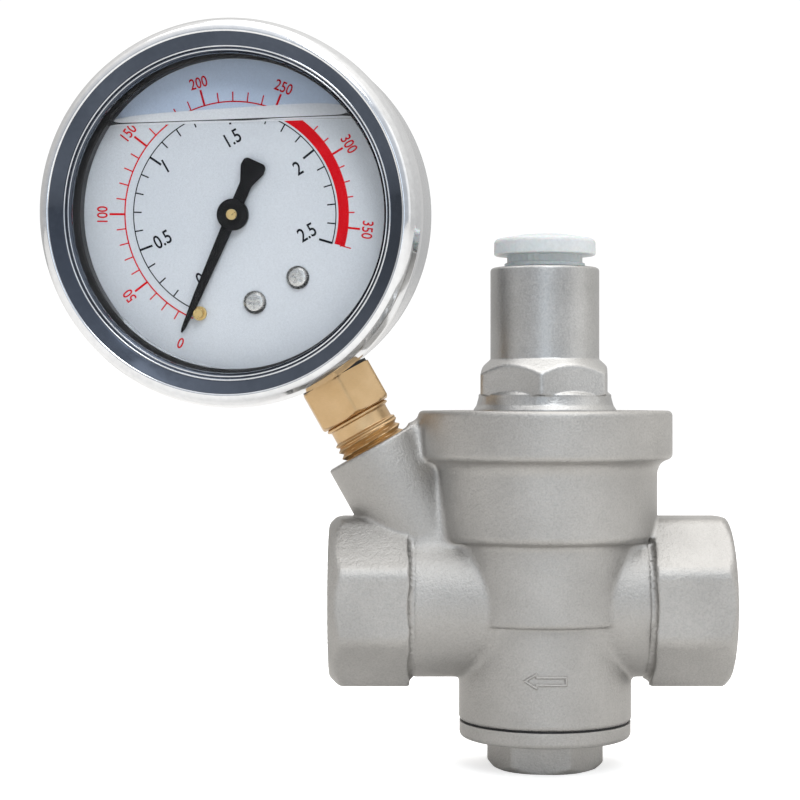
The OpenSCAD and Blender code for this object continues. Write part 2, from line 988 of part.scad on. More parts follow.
module pointer() {
    tail_half = 2.4;
    color(rubber)
        on_dial()
            rotate([0, 0, zero_angle])
                difference() {
                    union() {
                        translate([0, 0, pointer_w[0]])
                            linear_extrude(pointer_w[1] - pointer_w[0])
                                polygon([
                                    [0, 1.15],
                                    [17, 0.75],
                                    [pointer_tip_r - 1, 0.32],
                                    [pointer_tip_r, 0.1],
                                    [pointer_tip_r, -0.1],
                                    [pointer_tip_r - 1, -0.32],
                                    [17, -0.75],
                                    [0, -1.15],
                                    [-6, -1.2],
                                    [-pointer_tail_r + 0.9, -tail_half],
                                    [-pointer_tail_r, -tail_half + 0.9],
                                    [-pointer_tail_r, tail_half - 0.9],
                                    [-pointer_tail_r + 0.9, tail_half],
                                    [-6, 1.2]
                                ]);
                        span(pointer_hub_r, [pointer_w[0] - 0.3, pointer_w[1] + 0.4]);
                    }
                    span(arbor_r + 0.02, [0, 20]);
                }
}

// Gear outline: teeth between two radii, over a number of teeth around +Y
module teeth(root_r, tip_r, count, shown, first) {
    pitch = 360 / count;
    root_half = pitch * 0.27;
    tip_half = pitch * 0.14;
    for (i = [0:shown - 1])
        rotate([0, 0, first + i * pitch])
            polygon([
                [(root_r - 0.1) * cos(root_half), (root_r - 0.1) * sin(root_half)],
                [(root_r - 0.1) * cos(root_half), -(root_r - 0.1) * sin(root_half)],
                [tip_r * cos(tip_half), -tip_r * sin(tip_half)],
                [tip_r * cos(tip_half), tip_r * sin(tip_half)]
            ]);
}

module pinion_arbor() {
    color(brass)
        on_dial() {
            span(arbor_r, [rear_plate_w[0] + 0.1, pointer_w[1] + 0.5]);
            span(1, [pointer_w[1] + 0.42, pointer_w[1] + 0.9]);
            translate([0, 0, sector_w[0] - 0.3])
                linear_extrude(sector_w[1] - sector_w[0] + 0.6) {
                    circle(r = pinion_root_r, $fn = 32);
                    teeth(pinion_root_r, pinion_tip_r, pinion_teeth, pinion_teeth, -90 + 18);
                }
        }
}

// Toothed sector, its hub and the tail that the link pulls
module sector_gear() {
    half = 3.6 * sector_span / 2 + 1;
    color(brass)
        on_dial()
            translate([0, sector_y, 0]) {
                difference() {
                    union() {
                        translate([0, 0, sector_w[0]])
                            linear_extrude(sector_w[1] - sector_w[0]) {
                                teeth(sector_root_r, sector_tip_r, sector_teeth, sector_span,
                                    90 + sector_rest_tilt - 3.6 * (sector_span - 1) / 2 - 0.9);
                                rotate([0, 0, 90 + sector_rest_tilt])
                                    intersection() {
                                        circle(r = sector_root_r);
                                        polygon([
                                            [0, 0],
                                            [12 * cos(half), -12 * sin(half)],
                                            [12 * cos(half), 12 * sin(half)]
                                        ]);
                                    }
                                rotate([0, 0, tail_angle + sector_rest_tilt])
                                    translate([0, -0.9])
                                        square([tail_r + 0.9, 1.8]);
                                circle(r = 1.6, $fn = 32);
                            }
                        rotate([0, 0, tail_angle + sector_rest_tilt])
                            translate([tail_r, 0])
                                span(tail_pin_r, [sector_w[0], link_w[1] + 0.3]);
                    }
                    span(arbor_r + 0.02, [0, 20]);
                }
            }
}

module sector_arbor() {
    color(machined)
        on_dial()
            translate([0, sector_y, 0])
                span(arbor_r, [rear_plate_w[0] + 0.1, front_plate_w[1] - 0.1]);
}

// Place of the sector's tail pin when the gauge reads zero
function tail_place() =
    let (a = tail_angle + sector_rest_tilt)
    [tail_r * cos(a), sector_y + tail_r * sin(a)];

// Place of the tube tip's pin when the gauge reads zero
function tip_place() =
    let (a = tube_end_angle)
    [tip_pin[0] * cos(a) - tip_pin[1] * sin(a), tip_pin[0] * sin(a) + tip_pin[1] * cos(a)];

module tip_link() {
    from = tail_place();
    to = tip_place();
    run = to - from;
    color(brass)
        on_dial()
            translate([from[0], from[1], link_w[0]])
                rotate([0, 0, atan2(run[1], run[0])])
                    linear_extrude(link_w[1] - link_w[0])
                        difference() {
                            union() {
                                circle(r = link_half, $fn = 32);
                                translate([norm(run), 0])
                                    circle(r = link_half, $fn = 32);
                                translate([0, -0.7])
                                    square([norm(run), 1.4]);
                            }
                            circle(r = link_hole_r, $fn = 32);
                            translate([norm(run), 0])
                                circle(r = tail_pin_r + 0.02, $fn = 32);
                        }
}

module tube_tip() {
    color(brass)
        on_dial()
            rotate([0, 0, tube_end_angle]) {
                translate([tube_r - 2, -5.6, tube_mid_w - 3.5])
                    cube([4, 5.3, 6.4]);
                translate([tip_pin[0], tip_pin[1], 0])
                    span(tail_pin_r, [-1, link_w[1] + 0.4]);
                translate([tip_pin[0], tip_pin[1], 0])
                    span(1.2, [-1, link_w[0] - 0.02]);
            }
}

// Flat spiral spring that takes the play out of the gearing, fixed at its outer end
module hairspring() {
    turns = 3.5;
    steps = 84;
    inner = 1.5;
    pitch = 0.85;
    half = 0.09;
    function spiral(side) = [for (i = [0:steps])
        let (a = 360 * turns * i / steps, r = inner + pitch * turns * i / steps + side * half)
        [r * cos(a), r * sin(a)]];
    inside = spiral(-1);
    outside = spiral(1);
    outer_r = inner + pitch * turns;
    color(machined)
        on_dial() {
            translate([0, 0, hairspring_w[0]])
                linear_extrude(hairspring_w[1] - hairspring_w[0])
                    polygon(concat(outside, [for (i = [0:steps]) inside[steps - i]]));
            rotate([0, 0, 360 * turns])
                translate([outer_r, 0])
                    span(0.35, [hairspring_w[0], front_plate_w[0] - 0.02]);
        }
}

module plate_outline(low, high) {
    difference() {
        translate([-9.2, low])
            square([18.4, high - low]);
        circle(r = arbor_hole_r);
        translate([0, sector_y])
            circle(r = arbor_hole_r);
    }
}

module rear_plate() {
    color(brass)
        on_dial()
            translate([0, 0, rear_plate_w[0]])
                linear_extrude(rear_plate_w[1] - rear_plate_w[0])
                    difference() {
                        plate_outline(-14, 6);
                        for (place = foot_screw_places)
                            translate(place)
                                circle(r = small_screw_core_r);
                    }
}

module front_plate() {
    color(brass)
        on_dial()
            translate([0, 0, front_plate_w[0]])
                linear_extrude(front_plate_w[1] - front_plate_w[0])
                    difference() {
                        plate_outline(-11, 6);
                        for (place = pillar_places)
                            translate(place)
                                circle(r = small_screw_core_r);
                    }
}

module movement_pillars() {
    color(brass)
        on_dial()
            for (place = pillar_places)
                translate(place)
                    difference() {
                        span(pillar_r, [rear_plate_w[1] + 0.01, front_plate_w[0] - 0.01]);
                        span(small_screw_core_r, [front_plate_w[0] - 2.4, front_plate_w[0] + 1]);
                    }
}

module slotted_screw(head_w, length) {
    difference() {
        union() {
            span(0.6, [head_w - length, head_w + 0.1]);
            span(1.1, [head_w + 0.01, head_w + 0.6]);
        }
        translate([-1.5, -0.15, head_w + 0.3])
            cube([3, 0.3, 1]);
    }
}

module movement_screws() {
    color(machined)
        on_dial() {
            for (place = pillar_places)
                translate(place)
                    slotted_screw(front_plate_w[1], 2.6);
            for (place = foot_screw_places)
                translate(place)
                    slotted_screw(rear_plate_w[1], 3);
        }
}

body();
inlet_end();
outlet_end();
seat_ring();
bonnet();
bonnet_o_ring();
adjusting_screw();
spring_plate();
spring();
piston();
piston_o_ring();
piston_guide_ring();
valve_stem();
stem_nut();
seal_washer();
seal_disc();
disc_holder();
balance_o_ring();
bottom_plug();
plug_gasket();
cap();
gauge_socket();
socket_gasket();
gauge_case();
fill_plug();
gauge_bezel();
gauge_window();
window_gasket();
dial();
dial_screws();
dial_posts();
stop_pin();
pointer();
pinion_arbor();
sector_gear();
sector_arbor();
tip_link();
tube_tip();
bourdon_tube();
hairspring();
rear_plate();
front_plate();
movement_pillars();
movement_screws();
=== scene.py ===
"""Looks of the pressure reducing valve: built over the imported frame, metres, row frame."""
import json
import math

import bmesh
import bpy
import numpy as np
from mathutils import Matrix, Vector


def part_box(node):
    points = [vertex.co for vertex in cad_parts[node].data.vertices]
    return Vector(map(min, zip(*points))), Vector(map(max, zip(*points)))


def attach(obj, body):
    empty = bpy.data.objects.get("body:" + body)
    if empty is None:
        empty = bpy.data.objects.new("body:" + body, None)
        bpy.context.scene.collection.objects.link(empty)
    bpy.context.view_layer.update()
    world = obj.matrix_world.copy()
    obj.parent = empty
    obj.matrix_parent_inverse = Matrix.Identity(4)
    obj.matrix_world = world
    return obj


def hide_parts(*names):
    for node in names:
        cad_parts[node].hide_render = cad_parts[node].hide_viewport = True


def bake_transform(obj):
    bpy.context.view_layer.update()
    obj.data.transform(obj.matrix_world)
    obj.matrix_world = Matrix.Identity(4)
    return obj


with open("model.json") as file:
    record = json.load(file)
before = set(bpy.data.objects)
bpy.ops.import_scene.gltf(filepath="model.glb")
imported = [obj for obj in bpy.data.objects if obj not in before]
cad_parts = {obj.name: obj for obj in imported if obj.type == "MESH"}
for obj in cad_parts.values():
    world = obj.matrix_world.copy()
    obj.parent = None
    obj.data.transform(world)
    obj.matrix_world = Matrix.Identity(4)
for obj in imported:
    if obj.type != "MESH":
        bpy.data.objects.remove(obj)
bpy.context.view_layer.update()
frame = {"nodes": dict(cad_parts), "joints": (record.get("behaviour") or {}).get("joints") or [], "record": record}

MM = 0.001
scene = bpy.context.scene
joints = {j["name"]: j for j in frame["joints"]}

# ---- Places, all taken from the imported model's joints ----
# The pointer's joint lies 9 mm in front of the gauge's middle plane.
POINTER_W = 9.0
GAUGE_RISE = 51.2
front = Vector(joints["pointer_turn"]["axis"]).normalized()
hub = Vector(joints["pointer_turn"]["pos_m"])
step = hub - Vector(joints["sector_turn"]["pos_m"])
up = (step - step.dot(front) * front).normalized()
right = up.cross(front).normalized()
gauge_centre = hub - front * POINTER_W * MM
boss_face = gauge_centre - up * GAUGE_RISE * MM
valve_x = joints["screw_turn"]["pos_m"][0]


def place(x_axis, y_axis, z_axis, origin):
    """Matrix from local millimetres to the row frame."""
    m = Matrix((x_axis, y_axis, z_axis)).transposed().to_4x4()
    m.translation = origin
    return m @ Matrix.Scale(MM, 4)


X, Y, Z = Vector((1, 0, 0)), Vector((0, 1, 0)), Vector((0, 0, 1))
DIAL = place(right, up, front, gauge_centre)
STEM = place(right, -front, up, boss_face)
AXIS = place(X, Y, Z, Vector((valve_x, 0, 0)))


# ---- Materials ----

class Nodes:
    """Small helper for building a node tree."""

    def __init__(self, tree):
        self.tree = tree
        tree.nodes.clear()

    def add(self, kind, **values):
        node = self.tree.nodes.new(kind)
        for key, value in values.items():
            if key.startswith("in_"):
                node.inputs[key[3:].replace("_", " ")].default_value = value
            else:
                setattr(node, key, value)
        return node

    def link(self, a, a_out, b, b_in):
        self.tree.links.new(a.outputs[a_out], b.inputs[b_in])


def ramp(nodes, source, source_out, low, high, a, b):
    """Colour ramp from colour a at low to colour b at high."""
    r = nodes.add("ShaderNodeValToRGB")
    r.color_ramp.elements[0].position = low
    r.color_ramp.elements[0].color = (*a, 1)
    r.color_ramp.elements[1].position = high
    r.color_ramp.elements[1].color = (*b, 1)
    nodes.link(source, source_out, r, "Fac")
    return r


def noise(nodes, scale, detail, stretch=(1, 1, 1)):
    """Noise in object coordinates; scale is in features a metre."""
    co = nodes.add("ShaderNodeTexCoord")
    mapping = nodes.add("ShaderNodeMapping")
    mapping.inputs["Scale"].default_value = stretch
    n = nodes.add("ShaderNodeTexNoise")
    n.inputs["Scale"].default_value = scale
    n.inputs["Detail"].default_value = detail
    nodes.link(co, "Object", mapping, "Vector")
    nodes.link(mapping, "Vector", n, "Vector")
    return n


def multiply(nodes, a, b):
    """Product of two colours."""
    mix = nodes.add("ShaderNodeMix", data_type="RGBA", blend_type="MULTIPLY")
    mix.inputs["Factor"].default_value = 1.0
    nodes.tree.links.new(a, mix.inputs[6])
    nodes.tree.links.new(b, mix.inputs[7])
    return mix.outputs[2]


def bumps(nodes, height, depth, under=None):
    """Bump from a noise, on top of another bump if there is one."""
    bump = nodes.add("ShaderNodeBump")
    bump.inputs["Strength"].default_value = 1.0
    bump.inputs["Distance"].default_value = depth
    nodes.link(height, "Fac", bump, "Height")
    if under:
        nodes.link(under, "Normal", bump, "Normal")
    return bump


MATS = {}


def surface(name, dark, light, rough=(0.3, 0.5), metallic=0.0, blotch=60.0, grain=2600.0, bump=0.00002,
            stretch=(1, 1, 1), spec=0.5, subsurface=0.0, pits=0.0, speckle=0.90):
    """Material with a slow colour drift, fine grain in its roughness, and a fine bump."""
    mat = bpy.data.materials.new(name)
    mat.use_nodes = True
    nodes = Nodes(mat.node_tree)
    out = nodes.add("ShaderNodeOutputMaterial")
    shader = nodes.add("ShaderNodeBsdfPrincipled")
    shader.inputs["Metallic"].default_value = metallic
    shader.inputs["Specular IOR Level"].default_value = spec
    if subsurface:
        shader.inputs["Subsurface Weight"].default_value = subsurface
        shader.inputs["Subsurface Scale"].default_value = 0.002
    nodes.link(shader, "BSDF", out, "Surface")
    slow = noise(nodes, blotch, 4.0)
    fine = noise(nodes, grain, 3.0, stretch)
    colour = ramp(nodes, slow, "Fac", 0.35, 0.65, dark, light)
    speck = ramp(nodes, fine, "Fac", 0.3, 0.7, (speckle, speckle, speckle), (1.0, 1.0, 1.0))
    base = multiply(nodes, colour.outputs["Color"], speck.outputs["Color"])
    nodes.tree.links.new(base, shader.inputs["Base Color"])
    roughness = nodes.add("ShaderNodeMapRange")
    roughness.inputs["From Min"].default_value = 0.3
    roughness.inputs["From Max"].default_value = 0.7
    roughness.inputs["To Min"].default_value = rough[0]
    roughness.inputs["To Max"].default_value = rough[1]
    nodes.link(fine, "Fac", roughness, "Value")
    nodes.link(roughness, "Result", shader, "Roughness")
    normal = bumps(nodes, fine, bump)
    if pits:
        normal = bumps(nodes, noise(nodes, grain * 0.4, 2.0), pits, normal)
    nodes.link(normal, "Normal", shader, "Normal")
    MATS[name] = mat


def by_ray(nodes, ray, usual, special, out):
    """Gives one kind of ray a shader of its own, and all others the usual one."""
    path = nodes.add("ShaderNodeLightPath")
    mix = nodes.add("ShaderNodeMixShader")
    nodes.link(path, ray, mix, "Fac")
    nodes.tree.links.new(usual.outputs[0], mix.inputs[1])
    nodes.tree.links.new(special.outputs[0], mix.inputs[2])
    nodes.link(mix, "Shader", out, "Surface")


def clear(name, colour, ior):
    """Refracting material that lets the lamps' light straight through."""
    mat = bpy.data.materials.new(name)
    mat.use_nodes = True
    nodes = Nodes(mat.node_tree)
    out = nodes.add("ShaderNodeOutputMaterial")
    glass = nodes.add("ShaderNodeBsdfPrincipled")
    glass.inputs["Base Color"].default_value = (*colour, 1)
    glass.inputs["Transmission Weight"].default_value = 1.0
    glass.inputs["IOR"].default_value = ior
    glass.inputs["Roughness"].default_value = 0.0
    through = nodes.add("ShaderNodeBsdfTransparent")
    through.inputs["Color"].default_value = (*colour, 1)
    by_ray(nodes, "Is Shadow Ray", glass, through, out)
    MATS[name] = mat


surface("cast_steel", (0.475, 0.463, 0.447), (0.56, 0.547, 0.528), rough=(0.42, 0.60), metallic=1.0,
        blotch=55, grain=2900, bump=0.00008, pits=0.00008, speckle=0.78)
surface("bonnet_steel", (0.50, 0.495, 0.485), (0.60, 0.595, 0.585), rough=(0.28, 0.42), metallic=1.0,
        blotch=70, grain=3000, bump=0.00005, pits=0.00005, speckle=0.80)
surface("machined_steel", (0.62, 0.62, 0.61), (0.70, 0.70, 0.69), rough=(0.20, 0.34), metallic=1.0,
        blotch=90, grain=1500, bump=0.000008, stretch=(1, 1, 12))
surface("gauge_brass", (0.58, 0.39, 0.20), (0.68, 0.48, 0.27), rough=(0.30, 0.46), metallic=1.0, blotch=140,
        grain=1800, bump=0.00002, stretch=(1, 1, 6))
surface("movement_brass", (0.66, 0.48, 0.20), (0.76, 0.58, 0.28), rough=(0.25, 0.38), metallic=1.0,
        blotch=120, grain=2200, bump=0.000006)
surface("seal_rubber", (0.012, 0.012, 0.013), (0.022, 0.022, 0.024), rough=(0.55, 0.75),
        blotch=200, grain=3000, bump=0.00002)
surface("cap_plastic", (0.62, 0.66, 0.67), (0.67, 0.705, 0.715), rough=(0.30, 0.42),
        blotch=80, grain=1600, bump=0.00001, subsurface=0.25)
surface("chrome_bezel", (0.80, 0.81, 0.83), (0.86, 0.87, 0.89), rough=(0.06, 0.12), metallic=1.0, blotch=60,
        grain=900, bump=0.000002)
# Dark copy of the chrome for the bezel's inner slope: painted reflection of the dark surroundings that the
# polished slope mirrors.
surface("bezel_slope_painted_reflection", (0.060, 0.072, 0.095), (0.085, 0.10, 0.13), rough=(0.10, 0.16), metallic=1.0,
        blotch=60, grain=900, bump=0.000002)
surface("case_steel", (0.62, 0.63, 0.65), (0.70, 0.71, 0.73), rough=(0.16, 0.26), metallic=1.0, blotch=50,
        grain=900, bump=0.000004)
surface("dial_face", (0.63, 0.665, 0.715), (0.67, 0.70, 0.745), rough=(0.34, 0.42), blotch=40,
        grain=3000, bump=0.000003)
surface("pointer_black", (0.005, 0.005, 0.006), (0.009, 0.009, 0.010), rough=(0.35, 0.5),
        blotch=200, grain=2500, bump=0.000006, spec=0.15)
surface("guide_ptfe", (0.78, 0.74, 0.62), (0.84, 0.81, 0.70), rough=(0.45, 0.6), blotch=150,
        grain=2500, bump=0.00001)
surface("spring_steel", (0.42, 0.41, 0.40), (0.52, 0.51, 0.49), rough=(0.26, 0.38), metallic=1.0,
        blotch=150, grain=2000, bump=0.000008)
surface("print_black", (0.012, 0.013, 0.018), (0.02, 0.022, 0.028), rough=(0.4, 0.5),
        blotch=200, grain=3000, bump=0.000002, spec=0.04)
surface("print_red", (0.66, 0.004, 0.010), (0.74, 0.008, 0.016), rough=(0.4, 0.5), blotch=200,
        grain=3000, bump=0.000002, spec=0.04)
# Colour of the film on the liquid's slope: painted sheen.
surface("liquid_slope_painted_sheen", (0.68, 0.70, 0.74), (0.76, 0.78, 0.81), rough=(0.34, 0.42), blotch=40,
        grain=3000, bump=0.000003)
# Window and liquid refract less than real ones, which keeps the print behind them clear.
clear("window_glass", (0.995, 0.997, 1.0), 1.14)
clear("fill_liquid", (0.995, 0.997, 0.995), 1.02)
# Tint for the film above the liquid: painted shade.
clear("air_shade", (0.83, 0.88, 0.95), 1.0)


# ---- Mesh helpers ----

def piece(name, mesh, material, body="root", stands_for=(), sharp=35.0):
    """Object from a mesh in the row frame, riding a body."""
    obj = bpy.data.objects.new(name, mesh)
    scene.collection.objects.link(obj)
    mesh.materials.clear()
    mesh.materials.append(MATS[material])
    mesh.shade_smooth()
    if sharp:
        mesh.set_sharp_from_angle(angle=math.radians(sharp))
    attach(obj, body)
    if stands_for:
        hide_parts(*stands_for)
    return obj


def mesh_from(name, verts, faces, matrix):
    """Mesh whose vertices are given in local millimetres."""
    mesh = bpy.data.meshes.new(name)
    mesh.from_pydata([tuple(v) for v in np.asarray(verts, float)], [], faces)
    mesh.transform(matrix)
    if matrix.determinant() < 0:
        mesh.flip_normals()
    mesh.update()
    return mesh


def mend(mesh, distance=1e-7):
    """Merges doubled vertices, drops empty faces and turns all faces outwards."""
    bm = bmesh.new()
    bm.from_mesh(mesh)
    bmesh.ops.remove_doubles(bm, verts=bm.verts, dist=distance)
    bmesh.ops.dissolve_degenerate(bm, edges=bm.edges, dist=distance)
    bmesh.ops.recalc_face_normals(bm, faces=bm.faces)
    bm.to_mesh(mesh)
    bm.free()
    mesh.update()
    return mesh


def fillet(points, closed=True, steps=5):
    """Rounds the corners of an outline of (x, y, radius) or (x, y) points."""
    pts = [(p[0], p[1], p[2] if len(p) > 2 else 0.0) for p in points]
    n = len(pts)
    out = []
    for i, (x, y, radius) in enumerate(pts):
        if radius <= 0 or (not closed and i in (0, n - 1)):
            out.append((x, y))
            continue
        here = Vector((x, y))
        a = Vector(pts[i - 1][:2]) - here
        b = Vector(pts[(i + 1) % n][:2]) - here
        la, lb = a.length, b.length
        a.normalize()
        b.normalize()
        angle = a.angle(b)
        if angle > math.radians(178) or la < 1e-9 or lb < 1e-9:
            out.append((x, y))
            continue
        cut = min(radius / math.tan(angle / 2), 0.48 * la, 0.48 * lb)
        radius = cut * math.tan(angle / 2)
        centre = here + (a + b).normalized() * (radius / math.sin(angle / 2))
        p0, p1 = here + a * cut - centre, here + b * cut - centre
        turn = p0.angle_signed(p1)
        for k in range(steps + 1):
            c = math.cos(-turn * k / steps)
            s = math.sin(-turn * k / steps)
            out.append((centre.x + p0.x * c - p0.y * s, centre.y + p0.x * s + p0.y * c))
    return out


def revolve(name, rows, matrix, columns=128, shape=None, closed=True):
    """Turned mesh. rows are (r, z); shape(theta, r, z) may change each row's radius."""
    theta = np.arange(columns) * 2 * math.pi / columns
    rings = []
    for r, z in rows:
        radius = np.full(columns, r, float) if shape is None else shape(theta, r, z)
        rings.append(np.stack([radius * np.cos(theta), radius * np.sin(theta), np.full(columns, z)], 1))
    verts = np.concatenate(rings)
    faces = []
    count = len(rows)
    last = count if closed else count - 1
    for i in range(last):
        a, b = i * columns, ((i + 1) % count) * columns
        for j in range(columns):
            k = (j + 1) % columns
            faces.append((a + j, a + k, b + k, b + j))
    return mend(mesh_from(name, verts, faces, matrix), 2e-7)


def divide(points, size):
    """Adds points along an open line so that no step is longer than size."""
    out = [points[0]]
    for a, b in zip(points, points[1:]):
        n = max(1, int(math.ceil(math.dist(a, b) / size)))
        for k in range(1, n + 1):
            out.append((a[0] + (b[0] - a[0]) * k / n, a[1] + (b[1] - a[1]) * k / n))
    return out


def slab(name, outline, low, high, matrix, bevel=0.0):
    """Plate with a flat outline between two heights, its edges rounded."""
    n = len(outline)
    verts = [(x, y, low) for x, y in outline] + [(x, y, high) for x, y in outline]
    faces = [tuple(range(n - 1, -1, -1)), tuple(range(n, 2 * n))]
    faces += [(i, (i + 1) % n, n + (i + 1) % n, n + i) for i in range(n)]
    mesh = mesh_from(name, verts, faces, Matrix.Identity(4))
    bm = bmesh.new()
    bm.from_mesh(mesh)
    bmesh.ops.recalc_face_normals(bm, faces=bm.faces)
    if bevel:
        rim = [e for e in bm.edges if all(abs(v.co.z - high) < 1e-6 for v in e.verts)]
        bmesh.ops.bevel(bm, geom=rim, offset=bevel, segments=3, profile=0.5, affect="EDGES")
    bm.to_mesh(mesh)
    bm.free()
    mesh.transform(matrix)
    mesh.update()
    return mesh


def join(name, meshes):
    """One mesh out of several."""
    bm = bmesh.new()
    for m in meshes:
        bm.from_mesh(m)
        bpy.data.meshes.remove(m)
    out = bpy.data.meshes.new(name)
    bm.to_mesh(out)
    bm.free()
    out.update()
    return out


def smin(a, b, k):
    """Smooth minimum: rounds where two shapes meet."""
    h = np.clip(0.5 + 0.5 * (b - a) / k, 0, 1)
    return b * (1 - h) + a * h - k * h * (1 - h)


def smax(a, b, k):
    return -smin(-a, -b, k)


def hex_radius(theta, flats, turn):
    """Radius of a hexagon with a flat facing turn (degrees), by direction."""
    d = (np.degrees(theta) - turn + 30) % 60 - 30
    return flats / 2 / np.cos(np.radians(d))


def hex_corner(flats):
    return flats / 2 / math.cos(math.radians(30))


# ---- Valve body: a casting whose surface follows a field with filleted joins ----
# Millimetres from the valve's vertical axis and the port axis.

FLANGE_R, BARREL_R, WAIST_R, FOOT_R = 24.4, 21.5, 18.6, 16.5
CASTING = [n for n in ("body", "inlet_end", "outlet_end") if n in frame["nodes"]]
FLANGE_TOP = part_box("body")[1].z / MM
FOOT_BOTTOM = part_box("body")[0].z / MM
NECK_R, PORT_FLATS, PORT_LEN = 14.7, 32.0, 15.5
MOUTH_CHAMFER = {1: 1.7, -1: 2.6}
MITRE = 0.707
REACH = {1: (max(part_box(n)[1].x for n in CASTING) - valve_x) / MM,
         -1: (valve_x - min(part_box(n)[0].x for n in CASTING)) / MM}
THREAD_ROOT = 13.22
BOSS_R = 9.8
boss_local = (boss_face / MM) - Vector((valve_x / MM, 0, 0))


def disc(r, z, radius, low, high, edge=0.0):
    """Distance to a cylinder with rounded edges, from radial and axial coordinates."""
    qx = r - radius + edge
    qz = np.abs(z - (low + high) / 2) - (high - low) / 2 + edge
    outside = np.hypot(np.maximum(qx, 0), np.maximum(qz, 0))
    return outside + np.minimum(np.maximum(qx, qz), 0) - edge


def passage(p, start, end):
    """Distance to a stadium-shaped passage between two points of the XZ plane."""
    s = np.array(start, float)
    run = np.array(end, float) - s
    length = np.linalg.norm(run)
    run /= length
    qx, qz = p[:, 0] - s[0], p[:, 2] - s[1]
    along = qx * run[0] + qz * run[1]
    across = -qx * run[1] + qz * run[0]
    tube = np.hypot(np.maximum(np.abs(p[:, 1]) - 4.0, 0), across) - 5.5
    return np.maximum(tube, np.maximum(-along, along - length))


def body_field(p):
    """Signed distance, roughly, to the casting: negative inside the metal."""
    x, y, z = p[:, 0], p[:, 1], p[:, 2]
    r = np.hypot(x, y)
    rr = np.hypot(y, z)
    q = p - np.array(boss_local)
    t = q @ np.array(up)
    rb = np.linalg.norm(q - t[:, None] * np.array(up), axis=1)

    barrel = smin(disc(r, z, BARREL_R, 11.9, 34, 1.3), disc(r, z, WAIST_R, -3.7, 20, 0.6), 1.6)
    barrel = smin(barrel, disc(r, z, FLANGE_R, 27.4, FLANGE_TOP, 0.9), 3.2)
    foot = disc(r, z, FOOT_R, FOOT_BOTTOM, 5, 0.3)
    necks = disc(rr, x, NECK_R, -REACH[-1] + PORT_LEN - 1, REACH[1] - PORT_LEN + 1, 0.2)
    solid = smin(smin(barrel, foot, 0.4), smin(foot, necks, 1.3), 0.4)
    solid = smin(solid, smin(barrel, necks, 0.55 + 2.2 * np.clip((z - 7) / 6, 0, 1)), 0.3)

    web = np.maximum.reduce([
        (-25.9 - x) * 0.963 + (z - 33.9) * -0.268, z - 33.9, x + 16.6, 8 - z])
    solid = smin(solid, smax(web, np.abs(y) - 5.5, 1.2), 1.6)
    solid = smin(solid, disc(rb, t, BOSS_R, -29, 0, 0.35), 1.8)

    octagon = smax(smax(np.abs(y), np.abs(z), 1.1),
                   smax(np.abs(y + z), np.abs(y - z), 1.1) * math.sqrt(0.5), 1.1) - PORT_FLATS / 2
    corner = PORT_FLATS / 2 / math.cos(math.radians(22.5))
    for side in (1, -1):
        u = side * x
        reach = REACH[side]
        cone = (rr - corner) * 0.692 + (u - reach + MOUTH_CHAMFER[side]) * 0.722
        back = (rr - PORT_FLATS / 2 - 0.6 - (u - reach + PORT_LEN)) * MITRE
        ends = smax(u - reach, reach - PORT_LEN - u, 0.3)
        end = smax(smax(smax(octagon, cone, 0.35), back, 0.2), ends, 0.35)
        solid = smin(solid, end, 0.5)
        groove = np.hypot(np.maximum(np.abs(rr - NECK_R - 0.3) - 0.6, 0), u - reach + PORT_LEN + 0.1) - 0.5
        solid = smax(solid, -groove, 0.5)

    hollow = np.minimum.reduce([
        disc(r, z, 20.03, 27, 60), disc(r, z, 17, 13, 40), disc(r, z, 10, 1, 14),
        disc(r, z, 9.03, -5, -1), disc(r, z, 7, -5, 2), disc(r, z, 12.5, -50, -4),
        disc(r, z, 14.03, -50, -15), disc(rb, t, 6.65, -12, 8), disc(rb, t, 2.5, -27, 0),
        passage(p, (REACH[1] - 14, 0), (6, -11)), passage(p, (-REACH[-1] + 14, 0), (-6, 5.6))])
    for side in (1, -1):
        u = side * x
        reach = REACH[side]
        sink = np.maximum((rr - THREAD_ROOT - (u - reach + 0.7)) * MITRE, reach - 1.5 - u)
        hollow = np.minimum.reduce([hollow, disc(rr, u, THREAD_ROOT, reach - 15, reach + 20),
                                    disc(rr, u, 10.5, reach - 19, reach), sink])
    return smax(solid, -hollow, 0.35)


def settle(points, quads, field, rounds=7, relax=3):
    """Moves a mesh's points onto a field's surface and evens out their spacing."""
    n = len(points)
    a = np.concatenate([quads[:, i] for i in range(4)])
    b = np.concatenate([quads[:, (i + 1) % 4] for i in range(4)])
    start, end = np.concatenate([a, b]), np.concatenate([b, a])
    degree = np.maximum(np.bincount(start, minlength=n), 1)

    def slope(p, h=0.03):
        g = np.empty_like(p)
        for axis in range(3):
            d = np.zeros(3)
            d[axis] = h
            g[:, axis] = (field(p + d) - field(p - d)) / (2 * h)
        return g

    def project(p, times):
        for _ in range(times):
            g = slope(p)
            f = field(p)
            size = np.maximum((g * g).sum(1), 0.2)
            p = p - (np.clip(f, -0.5, 0.5) / size)[:, None] * g
        return p

    points = project(points, rounds)
    for _ in range(relax):
        mean = np.stack([np.bincount(start, weights=points[end, k], minlength=n) for k in range(3)], 1)
        move = mean / degree[:, None] - points
        g = slope(points)
        g /= np.maximum(np.linalg.norm(g, axis=1), 1e-6)[:, None]
        move -= (move * g).sum(1)[:, None] * g
        points = project(points + 0.6 * move, 2)
    return points


